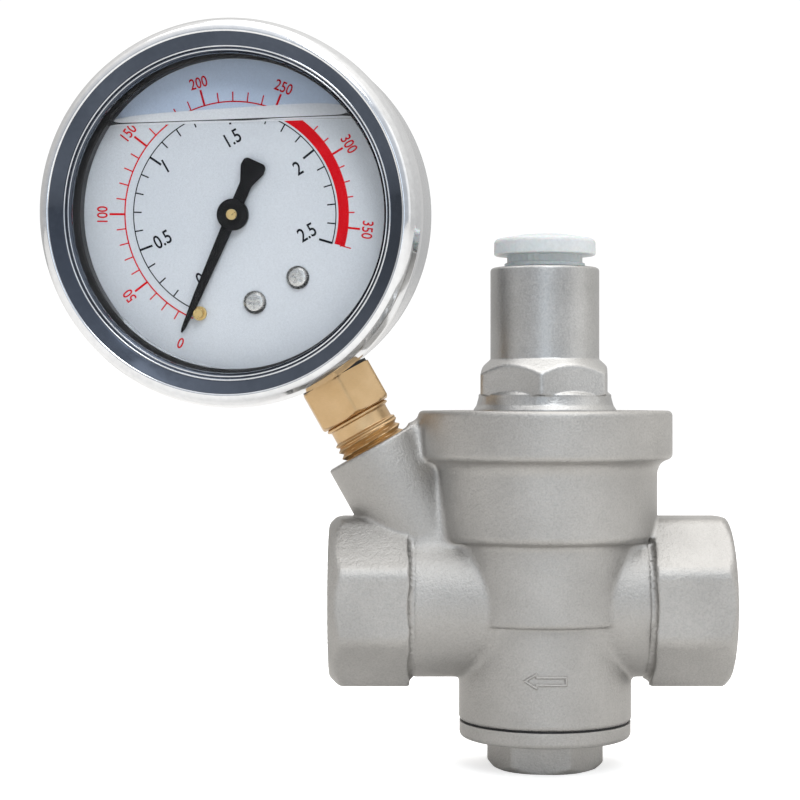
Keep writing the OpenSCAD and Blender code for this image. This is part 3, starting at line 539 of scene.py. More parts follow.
def casting(name, nodes, field, voxel):
    """Remeshed copy of some CAD nodes, its points settled on the field."""
    mesh = join(name, [frame["nodes"][n].data.copy() for n in nodes])
    tmp = bpy.data.objects.new(name + "_tmp", mesh)
    scene.collection.objects.link(tmp)
    remesh = tmp.modifiers.new("remesh", "REMESH")
    remesh.mode = "VOXEL"
    remesh.voxel_size = voxel
    bpy.context.view_layer.update()
    out = bpy.data.meshes.new_from_object(tmp.evaluated_get(bpy.context.evaluated_depsgraph_get()))
    bpy.data.objects.remove(tmp)
    n = len(out.vertices)
    centre = np.array([valve_x / MM, 0, 0])
    co = np.empty(n * 3)
    out.vertices.foreach_get("co", co)
    points = co.reshape(-1, 3) / MM - centre
    quads = np.empty(len(out.polygons) * 4, np.int64)
    out.polygons.foreach_get("vertices", quads)
    points = settle(points, quads.reshape(-1, 4), field)
    out.vertices.foreach_set("co", ((points + centre) * MM).ravel())
    out.name = name
    out.update()
    return out


VOXEL = 0.00046
piece("body_casting", casting("body_casting", CASTING, body_field, VOXEL), "cast_steel",
      stands_for=CASTING, sharp=0)


def port_thread(name, side):
    """Female pipe thread: a thin sleeve whose inside follows the helix."""
    reach = REACH[side]
    pitch, crest, root = 1.814, 12.06, THREAD_ROOT - 0.12
    length = 14.6
    rows = int(length / pitch * 12)
    depth = [length * i / rows for i in range(rows + 1)]

    def shape(theta, r, z):
        if r < 13:
            phase = ((z / pitch - side * theta / (2 * math.pi)) % 1.0)
            tooth = np.clip(1.35 - np.abs(phase - 0.5) * 4.4, 0, 1)
            fade = min(1.0, z / 1.2, (length - z) / 0.8 + 0.1)
            return root - (root - crest) * tooth * max(fade, 0.05)
        return np.full_like(theta, r)

    sleeve = THREAD_ROOT + 0.12
    profile = [(12.0, z) for z in depth] + [(sleeve, length), (sleeve, 0.75), (THREAD_ROOT - 0.02, 0.35)]
    inwards = place(Z * side, Y, X * -side, Vector((valve_x + side * reach * MM, 0, 0)))
    mesh = revolve(name, profile, inwards, 108, shape)
    return piece(name, mesh, "machined_steel", sharp=40)


port_thread("port_thread_in", 1)
port_thread("port_thread_out", -1)


def arrow_relief():
    """Outline arrow raised on the front of the lower barrel, on its own curved patch."""
    outline = [(-4.1, 0), (-1.8, 1.8), (-1.8, 0.95), (4.1, 0.95), (4.1, -0.95), (-1.8, -0.95), (-1.8, -1.8)]
    cx, cz, rise, width = -1.0, -13.5, 0.42, 0.26
    nx, nz = 150, 80
    gx = np.linspace(-5.4, 5.2, nx)
    gz = np.linspace(-3.0, 3.0, nz)
    px, pz = np.meshgrid(gx, gz)
    inner = np.array([(x * 0.93 - 0.05, z * 0.74) for x, z in outline])
    best = np.full(px.shape, 1e9)
    for a, b in zip(inner, np.roll(inner, -1, axis=0)):
        d = b - a
        t = np.clip(((px - a[0]) * d[0] + (pz - a[1]) * d[1]) / (d @ d), 0, 1)
        best = np.minimum(best, np.hypot(px - a[0] - t * d[0], pz - a[1] - t * d[1]))
    ridge = 1 / (1 + (best / width) ** 4)
    x = px + cx
    depth = np.sqrt((FOOT_R + (rise + 0.10) * ridge - 0.10) ** 2 - x ** 2)
    verts = np.stack([x, -depth, pz + cz], 2).reshape(-1, 3)
    back = np.stack([x, -depth + 0.6, pz + cz], 2).reshape(-1, 3)
    n = nx * nz
    faces = []
    for j in range(nz - 1):
        for i in range(nx - 1):
            a = j * nx + i
            faces.append((a, a + 1, a + nx + 1, a + nx))
            faces.append((n + a, n + a + nx, n + a + nx + 1, n + a + 1))
    edge = [i for i in range(nx)] + [j * nx + nx - 1 for j in range(1, nz)]
    edge += [(nz - 1) * nx + i for i in range(nx - 2, -1, -1)] + [j * nx for j in range(nz - 2, 0, -1)]
    for a, b in zip(edge, edge[1:] + edge[:1]):
        faces.append((a, n + a, n + b, b))
    mesh = mesh_from("flow_arrow", np.concatenate([verts, back]), faces, AXIS)
    mend(mesh)
    return piece("flow_arrow", mesh, "cast_steel", sharp=0)


arrow_relief()


# ---- Bonnet, bottom plug and cap ----

def bonnet():
    flats, turn = 24.0, -7.0
    corner = hex_corner(flats)
    hex_z, hex_top, neck, waist = 39.4, 46.2, 10.5, 12.85
    bonnet_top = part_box("bonnet")[1].z / MM

    def shape(theta, r, z):
        if r < 11 or z < hex_z - 0.3 or z > hex_top + 0.7:
            return np.full_like(theta, r)
        flat = smin(hex_radius(theta, flats, turn), np.full_like(theta, corner - 0.12), 0.35)
        top = 10.8 + (hex_top - z) * (corner - 10.8) / 2.8
        bottom = waist + 0.2 + max(0.0, z - hex_z + 0.1) * 2.2
        out = smin(flat, np.full_like(theta, min(top, bottom)), 0.45)
        inner = max(neck, waist - 0.05 - max(0.0, z - hex_z - 0.2) * 1.2)
        return smax(out, np.full_like(theta, inner), 0.12)

    outer = fillet([(20, 27), (20, FLANGE_TOP), (13.75, FLANGE_TOP), (13.75, FLANGE_TOP + 0.25, 0.2),
                    (13.2, FLANGE_TOP + 1.1, 1.2), (waist, hex_z - 0.3)], closed=False)
    hex_rows = [(12.9, z) for z in np.linspace(hex_z - 0.25, hex_top + 0.3, 48)]
    neck_rows = fillet([(neck, hex_top + 0.45), (neck, bonnet_top, 0.65), (8.6, bonnet_top),
                        (8.05, bonnet_top - 0.5), (8.05, 48.8), (9.5, 48.8), (9.5, 27)], closed=False)
    rows = outer + hex_rows + divide(neck_rows, 3.0)
    mesh = revolve("bonnet_cover", rows, AXIS, 288, shape)
    return piece("bonnet_cover", mesh, "bonnet_steel", stands_for=("bonnet",), sharp=55)


bonnet()


def bottom_plug():
    flats, turn = 19.7, -9.0 + 30.0
    corner = hex_corner(flats)
    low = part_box("bottom_plug")[0].z / MM
    flange_low, flange_top, thread_top = -26.2, FOOT_BOTTOM - 0.5, -16.5
    pitch = 1.5

    def shape(theta, r, z):
        if z < flange_low + 0.05 and 9 < r < 12:
            flat = smin(hex_radius(theta, flats, turn), np.full_like(theta, corner - 0.15), 0.35)
            chamfer = 10.0 + (z - low) * (corner - 10.0) / 1.1
            return smin(flat, np.full_like(theta, chamfer), 0.4)
        if 13.9 < r < 14.1 and z > flange_top:
            phase = (z / pitch - theta / (2 * math.pi)) % 1.0
            return 14.0 - 0.8 * np.abs(phase - 0.5) * 2
        return np.full_like(theta, r)

    rows = [(0.001, low), (8.0, low), (9.4, low)]
    rows += [(10.5, z) for z in np.linspace(low + 0.02, flange_low - 0.05, 30)]
    rows += fillet([(11.6, flange_low), (FOOT_R, flange_low, 0.95), (FOOT_R, flange_top), (14.0, flange_top)],
                   closed=False, steps=7)
    rows += [(14.0, z) for z in np.linspace(flange_top + 0.1, thread_top, 60)]
    rows += [(12, thread_top), (12, -22), (8, -22), (8, -16.5), (5.52, -16.5), (5.52, -28.8), (0.001, -28.8)]
    mesh = revolve("plug_body", rows, AXIS, 264, shape, closed=False)
    return piece("plug_body", mesh, "cast_steel", stands_for=("bottom_plug",), sharp=50)


bottom_plug()


def cap():
    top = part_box("cap")[1].z / MM
    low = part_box("cap")[0].z / MM
    head_r, head_low, neck = 9.8, 66.5, 7.2
    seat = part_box("bonnet")[1].z / MM

    def shape(theta, r, z):
        if 6.9 < r < 7.9 and seat - 0.2 < z < head_low - 0.1:
            ribs = 0.5 + 0.5 * np.cos(theta * 36)
            return r + 0.09 * ribs ** 2
        return np.full_like(theta, r)

    rows = fillet([(5.8, low), (neck, low, 0.5), (neck, seat), (neck + 0.5, seat + 0.15, 0.15),
                   (neck + 0.5, seat + 0.85, 0.2), (neck, seat + 1.0), (neck, head_low, 0.25),
                   (head_r, head_low, 0.35), (head_r, top - 1.12, 1.0), (7.6, top - 0.72, 2.0),
                   (5.0, top - 0.28, 4.0), (0.001, top - 0.01)],
                   closed=False, steps=7)
    rows = divide(rows, 0.8)
    inside = head_low - 0.5
    rows += [(0.001, inside)] + fillet([(0.002, inside), (5.8, inside, 0.6), (5.8, low)], closed=False)[1:]
    mesh = revolve("cap_plug", rows, AXIS, 216, shape, closed=False)
    return piece("cap_plug", mesh, "cap_plastic", body="cap_plug", stands_for=("cap",),
                 sharp=40)


cap()


# ---- Gauge: stem, case, bezel ----

def gauge_stem():
    flats, turn = 14.0, 13.0
    corner = hex_corner(flats)
    hex_low, hex_top, relief, neck = 6.9, 15.1, 5.9, 6.0
    pitch = 1.337

    def shape(theta, r, z):
        if z < 3.3 and 6.0 < r < 6.6:
            phase = (z / pitch - theta / (2 * math.pi)) % 1.0
            tooth = np.clip(np.abs(phase - 0.5) * 2, 0.08, 0.92)
            fade = min(1.0, max(0.0, (3.2 - z) / 0.5))
            return 6.58 - 0.78 * (1 - tooth) * fade - 0.12 * (1 - fade)
        if hex_low - 0.01 <= z <= hex_top + 0.01 and r > 6.1:
            flat = smin(hex_radius(theta, flats, turn), np.full_like(theta, corner - 0.1), 0.2)
            cut = min(6.75 + (z - hex_low) * 2.1, 7.7 + (hex_top - z) * 2.4)
            return smin(flat, np.full_like(theta, cut), 0.25)
        return np.full_like(theta, r)

    rows = [(1.6, -10.5), (5.4, -10.5)] + [(6.5, z) for z in np.linspace(-9.6, 3.25, 96)]
    rows += fillet([(6.4, 3.4), (relief, 3.7, 0.2), (relief, 6.0, 0.3), (6.5, 6.25, 0.12), (6.5, 6.6, 0.12),
                    (6.1, hex_low - 0.02)], closed=False)
    rows += [(6.9, z) for z in np.linspace(hex_low, hex_top, 40)]
    rows += fillet([(neck, hex_top + 0.02), (neck, 18.4), (1.6, 18.4)], closed=False)
    mesh = revolve("gauge_stem", rows, STEM, 240, shape)
    return piece("gauge_stem", mesh, "gauge_brass", stands_for=("gauge_socket",), sharp=40)


gauge_stem()


def stem_block():
    """The socket's block inside the case: the CAD shape above the case's floor, its cut closed."""
    bm = bmesh.new()
    bm.from_mesh(frame["nodes"]["gauge_socket"].data)
    bmesh.ops.remove_doubles(bm, verts=bm.verts, dist=1e-7)
    cut = boss_face + up * 18.42 * MM
    found = bmesh.ops.bisect_plane(bm, geom=bm.verts[:] + bm.edges[:] + bm.faces[:], plane_co=cut, plane_no=up,
                                   clear_inner=True)
    edges = [e for e in found["geom_cut"] if isinstance(e, bmesh.types.BMEdge)]
    bmesh.ops.triangle_fill(bm, edges=edges, use_beauty=True)
    bmesh.ops.recalc_face_normals(bm, faces=bm.faces)
    mesh = bpy.data.meshes.new("stem_block")
    bm.to_mesh(mesh)
    bm.free()
    return piece("stem_block", mesh, "gauge_brass", stands_for=("gauge_socket",), sharp=30)


stem_block()


def gauge_case():
    r, wall, floor = 35.4, 1.2, 1.6
    back, face = -12.0, 12.6
    sunk = back + 0.5
    rows = fillet([(0.001, sunk), (14, sunk), (15, back, 0.6), (20, back, 0.6), (21, sunk, 0.6),
                   (29.5, sunk, 0.5), (30.5, back, 0.5), (r, back, 3.0), (r, 6.5, 0.3), (r - 0.3, 6.9, 0.2),
                   (r - 0.3, 8.2, 0.2), (r, 8.6, 0.3), (r, face, 0.2), (r - wall, face, 0.2),
                   (r - wall, back + floor, 2.0), (0.001, back + floor)], closed=False, steps=7)
    mesh = revolve("case_shell", divide(rows, 4.0), DIAL, 192, None, closed=False)
    return piece("case_shell", mesh, "case_steel", stands_for=("gauge_case",), sharp=40)


gauge_case()


def gauge_bezel():
    rows = fillet([(35.45, 9.4), (36.1, 9.4, 0.3), (36.3, 9.9, 0.3), (36.3, 13.2, 2.2), (35.6, 16.0, 2.6),
                   (34.7, 17.6, 1.6), (33.6, 18.0, 0.7), (33.1, 17.6, 0.5), (31.1, 16.0, 0.3),
                   (30.85, 16.2, 0.2), (30.6, 15.95, 0.2), (30.4, 15.6, 0.2), (30.15, 15.7, 0.2),
                   (29.7, 15.2, 0.3), (29.6, 14.25, 0.2), (34.2, 14.25), (35.45, 12.7)], closed=True, steps=7)
    mesh = revolve("bezel_ring", rows, DIAL, 256)
    ring = piece("bezel_ring", mesh, "chrome_bezel", stands_for=("gauge_bezel",), sharp=40)
    mesh.materials.append(MATS["bezel_slope_painted_reflection"])
    inverse = DIAL.inverted()
    for face in mesh.polygons:
        spot = inverse @ face.center
        r = math.hypot(spot.x, spot.y)
        on_crest = abs(r - 30.88) <= 0.13 or abs(r - 30.2) <= 0.1
        # Slope faces between the two lip lines take the dark copy as painted reflection; the lips stay bright
        # chrome.
        if 29.4 < r < 33.3 and spot.z > 14.2 and not on_crest:
            face.material_index = 1
    return ring


gauge_bezel()


# ---- Gauge: window and liquid ----

def gauge_window():
    rows = fillet([(0.001, 11.2), (34.1, 11.2, 0.25), (34.1, 14.2, 0.35), (0.001, 14.2)], closed=False)
    mesh = revolve("window_disc", rows, DIAL, 160, None, closed=False)
    return piece("window_disc", mesh, "window_glass", stands_for=("gauge_window",),
                 sharp=30)


gauge_window()

level_dir = (right * up.z - up * right.z).normalized()
rise_dir = front.cross(level_dir).normalized()
LEVEL = place(level_dir, rise_dir, front, gauge_centre)
LIQUID_R, LIQUID_LEVEL, WINDOW_LINE = 29.05, 17.0, 17.62


def climb(a):
    """How far the liquid climbs the dial, by distance across it."""
    ends = max(0.0, 1 - abs(a / 25.2) ** 5) ** 0.5 if abs(a) < 25.2 else 0.0
    return (2.9 + 0.045 * a) * ends


def liquid():
    """Filling that wets the dial and the window, its surface curved up to the dial."""
    radius, back, face = LIQUID_R, 8.07, 11.17
    layers, arc, top = 9, 150, 110
    rings = []
    for k in range(layers + 1):
        t = k / layers
        w = back + (face - back) * t

        def height(a):
            return LIQUID_LEVEL + climb(a) * (1 - t) ** 1.5 + 0.5 * t ** 3

        half = 24.6
        for _ in range(30):
            half = math.sqrt(max(radius ** 2 - height(half) ** 2, 1.0))
        left, right_end = -half, half
        a0 = math.atan2(height(left), left)
        a1 = math.atan2(height(right_end), right_end)
        ring = []
        sweep = (a1 + 2 * math.pi) - a0
        for i in range(arc):
            a = a0 + sweep * i / arc
            ring.append((radius * math.cos(a), radius * math.sin(a), w))
        for i in range(top):
            s = 1 - i / top
            a = left + (right_end - left) * (0.5 - 0.5 * math.cos(math.pi * s))
            ring.append((a, height(a), w))
        rings.append(ring)
    n = arc + top
    verts = [v for ring in rings for v in ring]
    faces = [tuple(range(n - 1, -1, -1)), tuple(range(layers * n, layers * n + n))]
    for k in range(layers):
        for i in range(n):
            j = (i + 1) % n
            faces.append((k * n + i, k * n + j, (k + 1) * n + j, (k + 1) * n + i))
    mesh = mesh_from("fill_liquid", verts, faces, LEVEL)
    mend(mesh, 1e-7)
    return piece("fill_liquid", mesh, "fill_liquid", sharp=30)


liquid()


def window_seal():
    rows = fillet([(29.12, 8.04), (34.05, 8.04), (34.05, 11.17), (29.4, 11.17), (29.12, 10.9)], closed=True)
    mesh = revolve("window_seal", rows, DIAL, 160)
    return piece("window_seal", mesh, "seal_rubber", stands_for=("window_gasket",),
                 sharp=40)


window_seal()


def contact(a):
    """Height of the liquid's edge on the dial."""
    return LIQUID_LEVEL + climb(a)


def film(name, low, high, back, face, mat):
    """Thin film facing the window, between two curves given by distance across the dial."""
    n = 120
    half = math.sqrt(LIQUID_R ** 2 - WINDOW_LINE ** 2) - 0.02
    across = [-half * math.cos(math.pi * i / n) for i in range(n + 1)]
    verts = []
    for a in across:
        rim = math.sqrt(LIQUID_R ** 2 - a * a)
        bottom = min(low(a), rim - 0.01)
        upper = max(min(high(a), rim), bottom + 0.005)
        verts += [(a, bottom, back), (a, upper, back), (a, upper, face), (a, bottom, face)]
    faces = [(0, 1, 2, 3), (4 * n + 3, 4 * n + 2, 4 * n + 1, 4 * n)]
    for i in range(n):
        for k in range(4):
            j = (k + 1) % 4
            faces.append((4 * i + k, 4 * i + 4 + k, 4 * i + 4 + j, 4 * i + j))
    mesh = mesh_from(name, verts, faces, LEVEL)
    mend(mesh, 1e-7)
    return piece(name, mesh, mat, sharp=30)


def air_shade():
    """Air space above the liquid: a tinted film on the dial, painted shade that makes it a little darker than the
    filled part.
    """
    return film("air_shade", lambda a: contact(a) + 0.1, lambda a: 40.0, 8.075, 8.10, "air_shade")


def liquid_slope_painted_sheen():
    """Bright slope of the liquid between its edge on the dial and its edge on the window: an opaque light film,
    painted sheen that hides the print behind it.
    """
    return film("liquid_slope_painted_sheen", lambda a: 17.25 + 0.012 * a, lambda a: contact(a) + 0.02, 8.085, 8.10,
                "liquid_slope_painted_sheen")


def meniscus_painted_shade():
    """Dark line where the liquid meets the window, running out into the seal at both ends: painted shade, a thin
    black sheet in the seal's colour.
    """
    half = 23.3
    upper, lower = [], []
    for i in range(141):
        a = -half + 2 * half * i / 140
        # Dark corners at the ends and a wider dark streak in the middle, all painted shade.
        corner = 1.5 * math.exp(-(a + half) / 0.9) + 0.9 * math.exp(-(half - a) / 1.0)
        streak = 0.22 * math.exp(-((a - 3.0) / 4.0) ** 2)
        line = WINDOW_LINE + 0.018 * a
        upper.append((a, line + 0.10 + corner))
        lower.append((a, line - 0.06 - streak - 0.25 * corner))
    outline = lower + upper[::-1]
    return piece("meniscus_painted_shade", slab("meniscus_painted_shade", outline, 11.13, 11.18, LEVEL), "seal_rubber",
                 sharp=30)


meniscus_painted_shade()
air_shade()
liquid_slope_painted_sheen()


# ---- Dial print ----
# Angles are in the dial's plane, anticlockwise from its right. Zero lies at the lower left.

PRINT_LOW, PRINT_HIGH = 8.0, 8.035
ZERO_ANGLE, SWEEP, BLACK_FULL = -135.6, 270.0, 2.5
RED_FULL = 362.6


def black_angle(value):
    return math.radians(ZERO_ANGLE - SWEEP * value / BLACK_FULL)


def red_angle(value):
    return math.radians(ZERO_ANGLE - SWEEP * value / RED_FULL)


def tick_outline(angle, inner, outer, width):
    """Outline of a tick along a radius."""
    c, s = math.cos(angle), math.sin(angle)
    corners = [(inner, -width / 2), (outer, -width / 2), (outer, width / 2), (inner, width / 2)]
    return [(r * c - t * s, r * s + t * c) for r, t in corners]


def arc_band(name, start, end, inner, outer, steps, low=PRINT_LOW, high=PRINT_HIGH):
    """Closed band along an arc."""
    verts, faces = [], []
    for i in range(steps + 1):
        a = start + (end - start) * i / steps
        c, s = math.cos(a), math.sin(a)
        for r, w in ((inner, low), (outer, low), (outer, high), (inner, high)):
            verts.append((r * c, r * s, w))
    for i in range(steps):
        a, b = 4 * i, 4 * i + 4
        for k in range(4):
            faces.append((a + k, a + (k + 1) % 4, b + (k + 1) % 4, b + k))
    faces += [(0, 1, 2, 3), tuple(4 * steps + k for k in (3, 2, 1, 0))]
    return mend(mesh_from(name, verts, faces, DIAL))


def print_scale(name, ticks):
    """Ticks as one mesh; each is (angle, inner, outer, width)."""
    return join(name, [slab(name, tick_outline(*tick), PRINT_LOW, PRINT_HIGH, DIAL) for tick in ticks])


arc_from = math.radians(-142.0)
arc_to = math.radians(ZERO_ANGLE - SWEEP - 0.6)
black = []
for i in range(1, 26):
    major = i % 5 == 0
    black.append((black_angle(i / 10), 16.9 if major else 17.9, 19.5, 0.42 if major else 0.26))
ink = [print_scale("ticks_black", black),
       arc_band("arc_black", math.radians(-141.5), arc_to, 19.38, 19.58, 220)]
piece("dial_black_scale", join("dial_black_scale", ink), "print_black", sharp=30)

red = []
for i in range(2, 36):
    value = 10 * i
    major = value % 50 == 0
    red.append((red_angle(value), 21.2, 24.2 if major else 23.0, 0.40 if major else 0.24))
red.append((red_angle(RED_FULL), 21.2, 23.2, 0.24))
ink = [print_scale("ticks_red", red),
       arc_band("arc_red", arc_from, arc_to, 21.05, 21.30, 240),
       arc_band("band_red", black_angle(1.72), black_angle(2.5), 19.95, 21.95, 120, low=PRINT_LOW + 0.005,
                high=PRINT_HIGH + 0.012)]
piece("dial_red_scale", join("dial_red_scale", ink), "print_red", sharp=30)


def figures(name, entries, height, squeeze, material):
    """Dial numbers as flat meshes: entries are (text, radius, angle, turn)."""
    meshes = []
    for text, radius, angle, turn in entries:
        curve = bpy.data.curves.new(name, "FONT")
        curve.body = text
        curve.size = 1.0
        curve.extrude = 0.0
        curve.resolution_u = 6
        curve.offset = 0.012
        tmp = bpy.data.objects.new(name + "_tmp", curve)
        scene.collection.objects.link(tmp)
        bpy.context.view_layer.update()
        flat = bpy.data.meshes.new_from_object(tmp.evaluated_get(bpy.context.evaluated_depsgraph_get()))
        bpy.data.objects.remove(tmp)
        co = np.array([v.co for v in flat.vertices])
        low, high = co.min(0), co.max(0)
        size = height / (high[1] - low[1])
        middle = (low + high) / 2
        bm = bmesh.new()
        bm.from_mesh(flat)
        bpy.data.meshes.remove(flat)
        bmesh.ops.remove_doubles(bm, verts=bm.verts, dist=1e-5)
        made = bmesh.ops.extrude_face_region(bm, geom=bm.faces[:])
        for v in bm.verts:
            v.co.z = PRINT_LOW
        for v in (g for g in made["geom"] if isinstance(g, bmesh.types.BMVert)):
            v.co.z = PRINT_HIGH
        c, s = math.cos(turn), math.sin(turn)
        ox, oy = radius * math.cos(angle), radius * math.sin(angle)
        for v in bm.verts:
            x = (v.co.x - middle[0]) * size * squeeze
            y = (v.co.y - middle[1]) * size
            v.co.x, v.co.y = ox + x * c - y * s, oy + x * s + y * c
        bmesh.ops.recalc_face_normals(bm, faces=bm.faces)
        mesh = bpy.data.meshes.new(name)
        bm.to_mesh(mesh)
        bm.free()
        mesh.transform(DIAL)
        meshes.append(mesh)
    return piece(name, join(name, meshes), material, sharp=30)


BLACK_PLACES = (("0", 13.85, -148.2), ("0.5", 14.7, 168.7), ("1", 16.1, 115.5), ("1.5", 14.4, 60.9),
                ("2", 15.0, 5.6), ("2.5", 14.3, -43.2))
numbers = [(text, radius, math.radians(angle), 0.0) for text, radius, angle in BLACK_PLACES]
figures("dial_black_figures", numbers, 2.65, 0.80, "print_black")
places = [("%d" % v, 25.6, red_angle(v)) for v in range(50, 351, 50)] + [("0", 26.5, math.radians(-143.2))]
numbers = [(text, radius, angle, angle - math.pi / 2) for text, radius, angle in places]
figures("dial_red_figures", numbers, 2.1, 0.80, "print_red")


# ---- Pointer ----

def pointer():
    zero = math.radians(-144)
    turn = Matrix.Rotation(zero, 4, "Z")
    m = DIAL @ turn
    outline = fillet([(0, 1.15), (17, 0.75), (23.6, 0.34), (24.4, 0.12, 0.1), (24.4, -0.12, 0.1), (23.6, -0.34),
                      (17, -0.75), (0, -1.15), (-6.2, -1.15, 2.5), (-9.2, -2.35, 0.9), (-10.95, -2.2, 0.9),
                      (-10.95, 2.2, 0.9), (-9.2, 2.35, 0.9), (-6.2, 1.15, 2.5)], steps=6)
    blade = slab("pointer_blade", outline, 9.0, 9.58, m, bevel=0.1)
    rows = fillet([(0.62, 8.7), (3.0, 8.7, 0.1), (3.0, 9.8, 0.25), (2.0, 10.0, 0.3), (0.62, 10.0)], steps=5)
    boss = revolve("pointer_hub", rows, m, 72)
    return piece("pointer_needle", join("pointer_needle", [blade, boss]), "pointer_black", body="pointer_group",
                 stands_for=("pointer",), sharp=40)


pointer()


# ---- Adjusting spring, in two halves ----

def spring_half(name, lower):
    wire, middle, total, closed = 2.2, 7.9, 8.0, 1.0
    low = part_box("spring")[0].z / MM + wire / 2
    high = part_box("spring")[1].z / MM - wire / 2
    grip = wire * 1.02

    def height(turn):
        if turn < closed:
            return low + grip * turn
        if turn > total - closed:
            return high - grip * (total - turn)
        return low + grip * closed + (high - low - 2 * grip * closed) * (turn - closed) / (total - 2 * closed)

    first, last = (0.0, total / 2 + 0.001) if lower else (total / 2 + 0.02, total)
    steps, sides = 190, 14
    verts, faces = [], []
    for i in range(steps + 1):
        turn = first + (last - first) * i / steps
        a = 2 * math.pi * turn
        for j in range(sides):
            b = 2 * math.pi * j / sides
            r = middle + wire / 2 * math.cos(b)
            flat = height(turn) + wire / 2 * math.sin(b)
            flat = min(max(flat, low - wire * 0.42), high + wire * 0.42)
            verts.append((r * math.cos(a), r * math.sin(a), flat))
    for i in range(steps):
        for j in range(sides):
            k = (j + 1) % sides
            faces.append((i * sides + j, i * sides + k, (i + 1) * sides + k, (i + 1) * sides + j))
    faces.append(tuple(range(sides - 1, -1, -1)))
    faces.append(tuple(steps * sides + j for j in range(sides)))
    mesh = mend(mesh_from(name, verts, faces, AXIS))
    obj = bpy.data.objects.new(name, mesh)
    scene.collection.objects.link(obj)
    mesh.materials.append(MATS["spring_steel"])
    mesh.shade_smooth()
    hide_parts("spring")
    if lower:
        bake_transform(obj)
    else:
        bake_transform(obj)
    return obj


spring_half("spring_lower", True)
spring_half("spring_upper", False)


# ---- CAD nodes that keep their shape ----

slots = {e["node"]: e["material_slot"] for e in frame["record"]["subparts"]}
REPLACED = {"inlet_end", "outlet_end", "body", "bonnet", "bottom_plug", "cap", "gauge_socket", "gauge_case",
            "gauge_bezel", "gauge_window", "window_gasket", "pointer", "spring"}
SOFT_EDGE = {"dial_screws": 0.12, "stop_pin": 0.15, "pinion_arbor": 0.06, "adjusting_screw": 0.1,
             "spring_plate": 0.15, "piston": 0.2, "seat_ring": 0.15, "disc_holder": 0.15, "stem_nut": 0.15,
             "seal_washer": 0.08, "plug_gasket": 0.08, "rear_plate": 0.06, "front_plate": 0.06, "dial": 0.1,
             "dial_posts": 0.08, "socket_gasket": 0.05}
for node, obj in frame["nodes"].items():
    if node in REPLACED:
        continue
    obj.data.materials.clear()
    obj.data.materials.append(MATS[slots[node]])
    if node in SOFT_EDGE:
        weld = obj.modifiers.new("weld", "WELD")
        weld.merge_threshold = 1e-6
        edge = obj.modifiers.new("edge", "BEVEL")
        edge.width = SOFT_EDGE[node] * MM
        edge.segments = 2
        edge.limit_method = "ANGLE"
        edge.angle_limit = math.radians(35)
        edge.harden_normals = False


# ---- Studio ----

FLOOR_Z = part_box("bottom_plug")[0].z


def floor():
    bm = bmesh.new()
    size = 1.6
    corners = [bm.verts.new((x, y, FLOOR_Z - 0.00002)) for x, y in
               ((-size, -0.9), (size, -0.9), (size, size), (-size, size))]
    bm.faces.new(corners)
    mesh = bpy.data.meshes.new("floor")
    bm.to_mesh(mesh)
    bm.free()
    obj = bpy.data.objects.new("floor", mesh)
    mat = bpy.data.materials.new("floor_white")
    mat.use_nodes = True
    nodes = Nodes(mat.node_tree)
    out = nodes.add("ShaderNodeOutputMaterial")
    seen = nodes.add("ShaderNodeBsdfPrincipled")
    seen.inputs["Base Color"].default_value = (0.86, 0.86, 0.86, 1)
    seen.inputs["Roughness"].default_value = 0.9
    seen.inputs["Specular IOR Level"].default_value = 0.1
    seen.inputs["Emission Color"].default_value = (1, 1, 1, 1)
    seen.inputs["Emission Strength"].default_value = 0.55
    lit = nodes.add("ShaderNodeBsdfDiffuse")
    lit.inputs["Color"].default_value = (0.80, 0.79, 0.775, 1)
    by_ray(nodes, "Is Camera Ray", lit, seen, out)
    mesh.materials.append(mat)
    scene.collection.objects.link(obj)


floor()


def lamp(name, place_at, aim, size, power, colour=(1, 1, 1)):
    light = bpy.data.lights.new(name, "AREA")
    light.shape = "RECTANGLE"
    light.size, light.size_y = size
    light.energy = power
    light.color = colour
    obj = bpy.data.objects.new(name, light)
    obj.location = place_at
    obj.rotation_euler = (Vector(aim) - Vector(place_at)).to_track_quat("-Z", "Y").to_euler()
    scene.collection.objects.link(obj)


TARGET = (valve_x - 0.02, 0, 0.03)
lamp("top_soft", (valve_x, 0.02, 0.75), TARGET, (0.9, 0.6), 2.4)
lamp("right_soft", (0.70, -0.25, 0.30), TARGET, (0.5, 0.6), 0.3)
lamp("key_strip", (valve_x + 0.10, -0.72, 0.62), TARGET, (0.30, 0.30), 1.5, (0.93, 0.97, 1.0))
lamp("front_soft", (valve_x - 0.06, -0.85, 0.06), TARGET, (0.22, 0.30), 0.26, (0.72, 0.86, 1.0))

world = bpy.data.worlds.new("studio")
scene.world = world
world.use_nodes = True
wn = Nodes(world.node_tree)


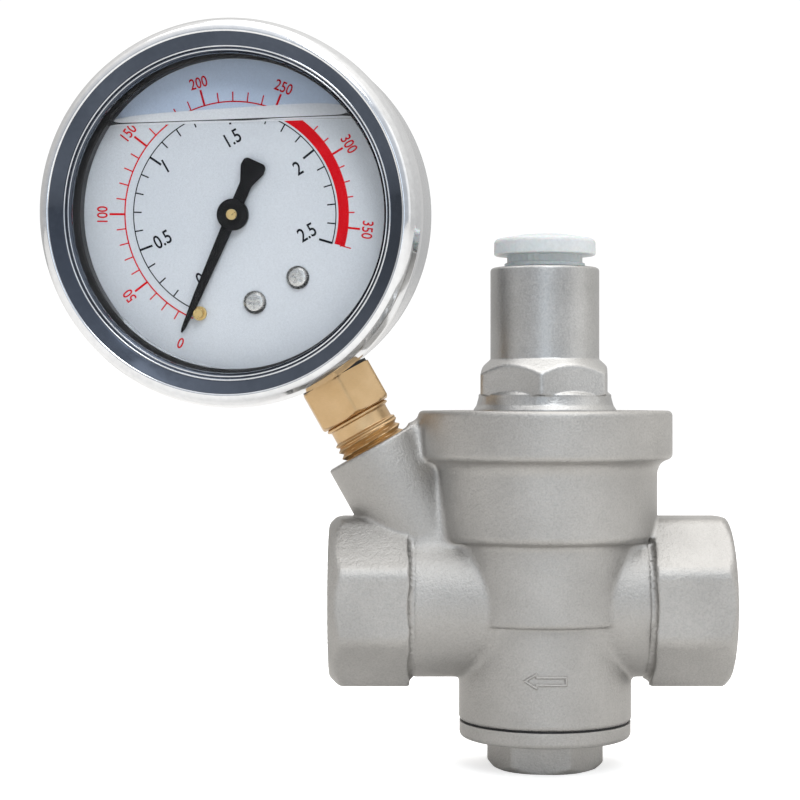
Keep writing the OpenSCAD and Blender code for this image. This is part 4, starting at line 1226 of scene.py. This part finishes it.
def sky_band(axis, stops):
    """Colours along one axis of the view direction, from its minus to its plus end."""
    scale = wn.add("ShaderNodeMapRange")
    scale.inputs["From Min"].default_value = -1.0
    scale.inputs["From Max"].default_value = 1.0
    band = wn.add("ShaderNodeValToRGB")
    wn.link(w_split, axis, scale, "Value")
    wn.link(scale, "Result", band, "Fac")
    for i, (position, colour) in enumerate(stops):
        element = band.color_ramp.elements[i] if i < 2 else band.color_ramp.elements.new(position)
        element.position = position
        element.color = (*colour, 1)
    return band


w_out = wn.add("ShaderNodeOutputWorld")
w_co = wn.add("ShaderNodeTexCoord")
w_split = wn.add("ShaderNodeSeparateXYZ")
wn.link(w_co, "Generated", w_split, "Vector")
depth_band = sky_band("Y", [(0.0, (0.58, 0.62, 0.68)), (0.10, (0.60, 0.63, 0.68)), (0.25, (0.76, 0.78, 0.81)),
                            (0.5, (0.84, 0.84, 0.84)), (1.0, (0.62, 0.62, 0.62))])
height_band = sky_band("Z", [(0.0, (0.90, 0.885, 0.86)), (0.45, (0.84, 0.84, 0.84)),
                             (0.72, (1.20, 1.19, 1.17)), (1.0, (1.75, 1.72, 1.67))])
side_band = sky_band("X", [(0.0, (0.72, 0.71, 0.70)), (0.5, (1.0, 1.0, 1.0)), (1.0, (0.95, 0.95, 0.94))])
w_lit = wn.add("ShaderNodeBackground")
sky = multiply(wn, multiply(wn, depth_band.outputs["Color"], height_band.outputs["Color"]),
               side_band.outputs["Color"])
wn.tree.links.new(sky, w_lit.inputs["Color"])
w_lit.inputs["Strength"].default_value = 1.0
w_seen = wn.add("ShaderNodeBackground")
w_seen.inputs["Color"].default_value = (1.05, 1.05, 1.05, 1)
by_ray(wn, "Is Camera Ray", w_lit, w_seen, w_out)

scene.view_settings.view_transform = "Standard"
scene.view_settings.look = "None"
scene.view_settings.exposure = 0.0

camera = bpy.data.cameras.new("camera")
camera.lens = 87.75
camera.sensor_width = 36.0
camera.clip_start = 0.01
camera.clip_end = 20.0
camera_obj = bpy.data.objects.new("camera", camera)
camera_obj.location = (valve_x - 0.028, -0.3772, 0.0386)
camera_obj.rotation_euler = (math.radians(90), 0, 0)
scene.collection.objects.link(camera_obj)
scene.camera = camera_obj
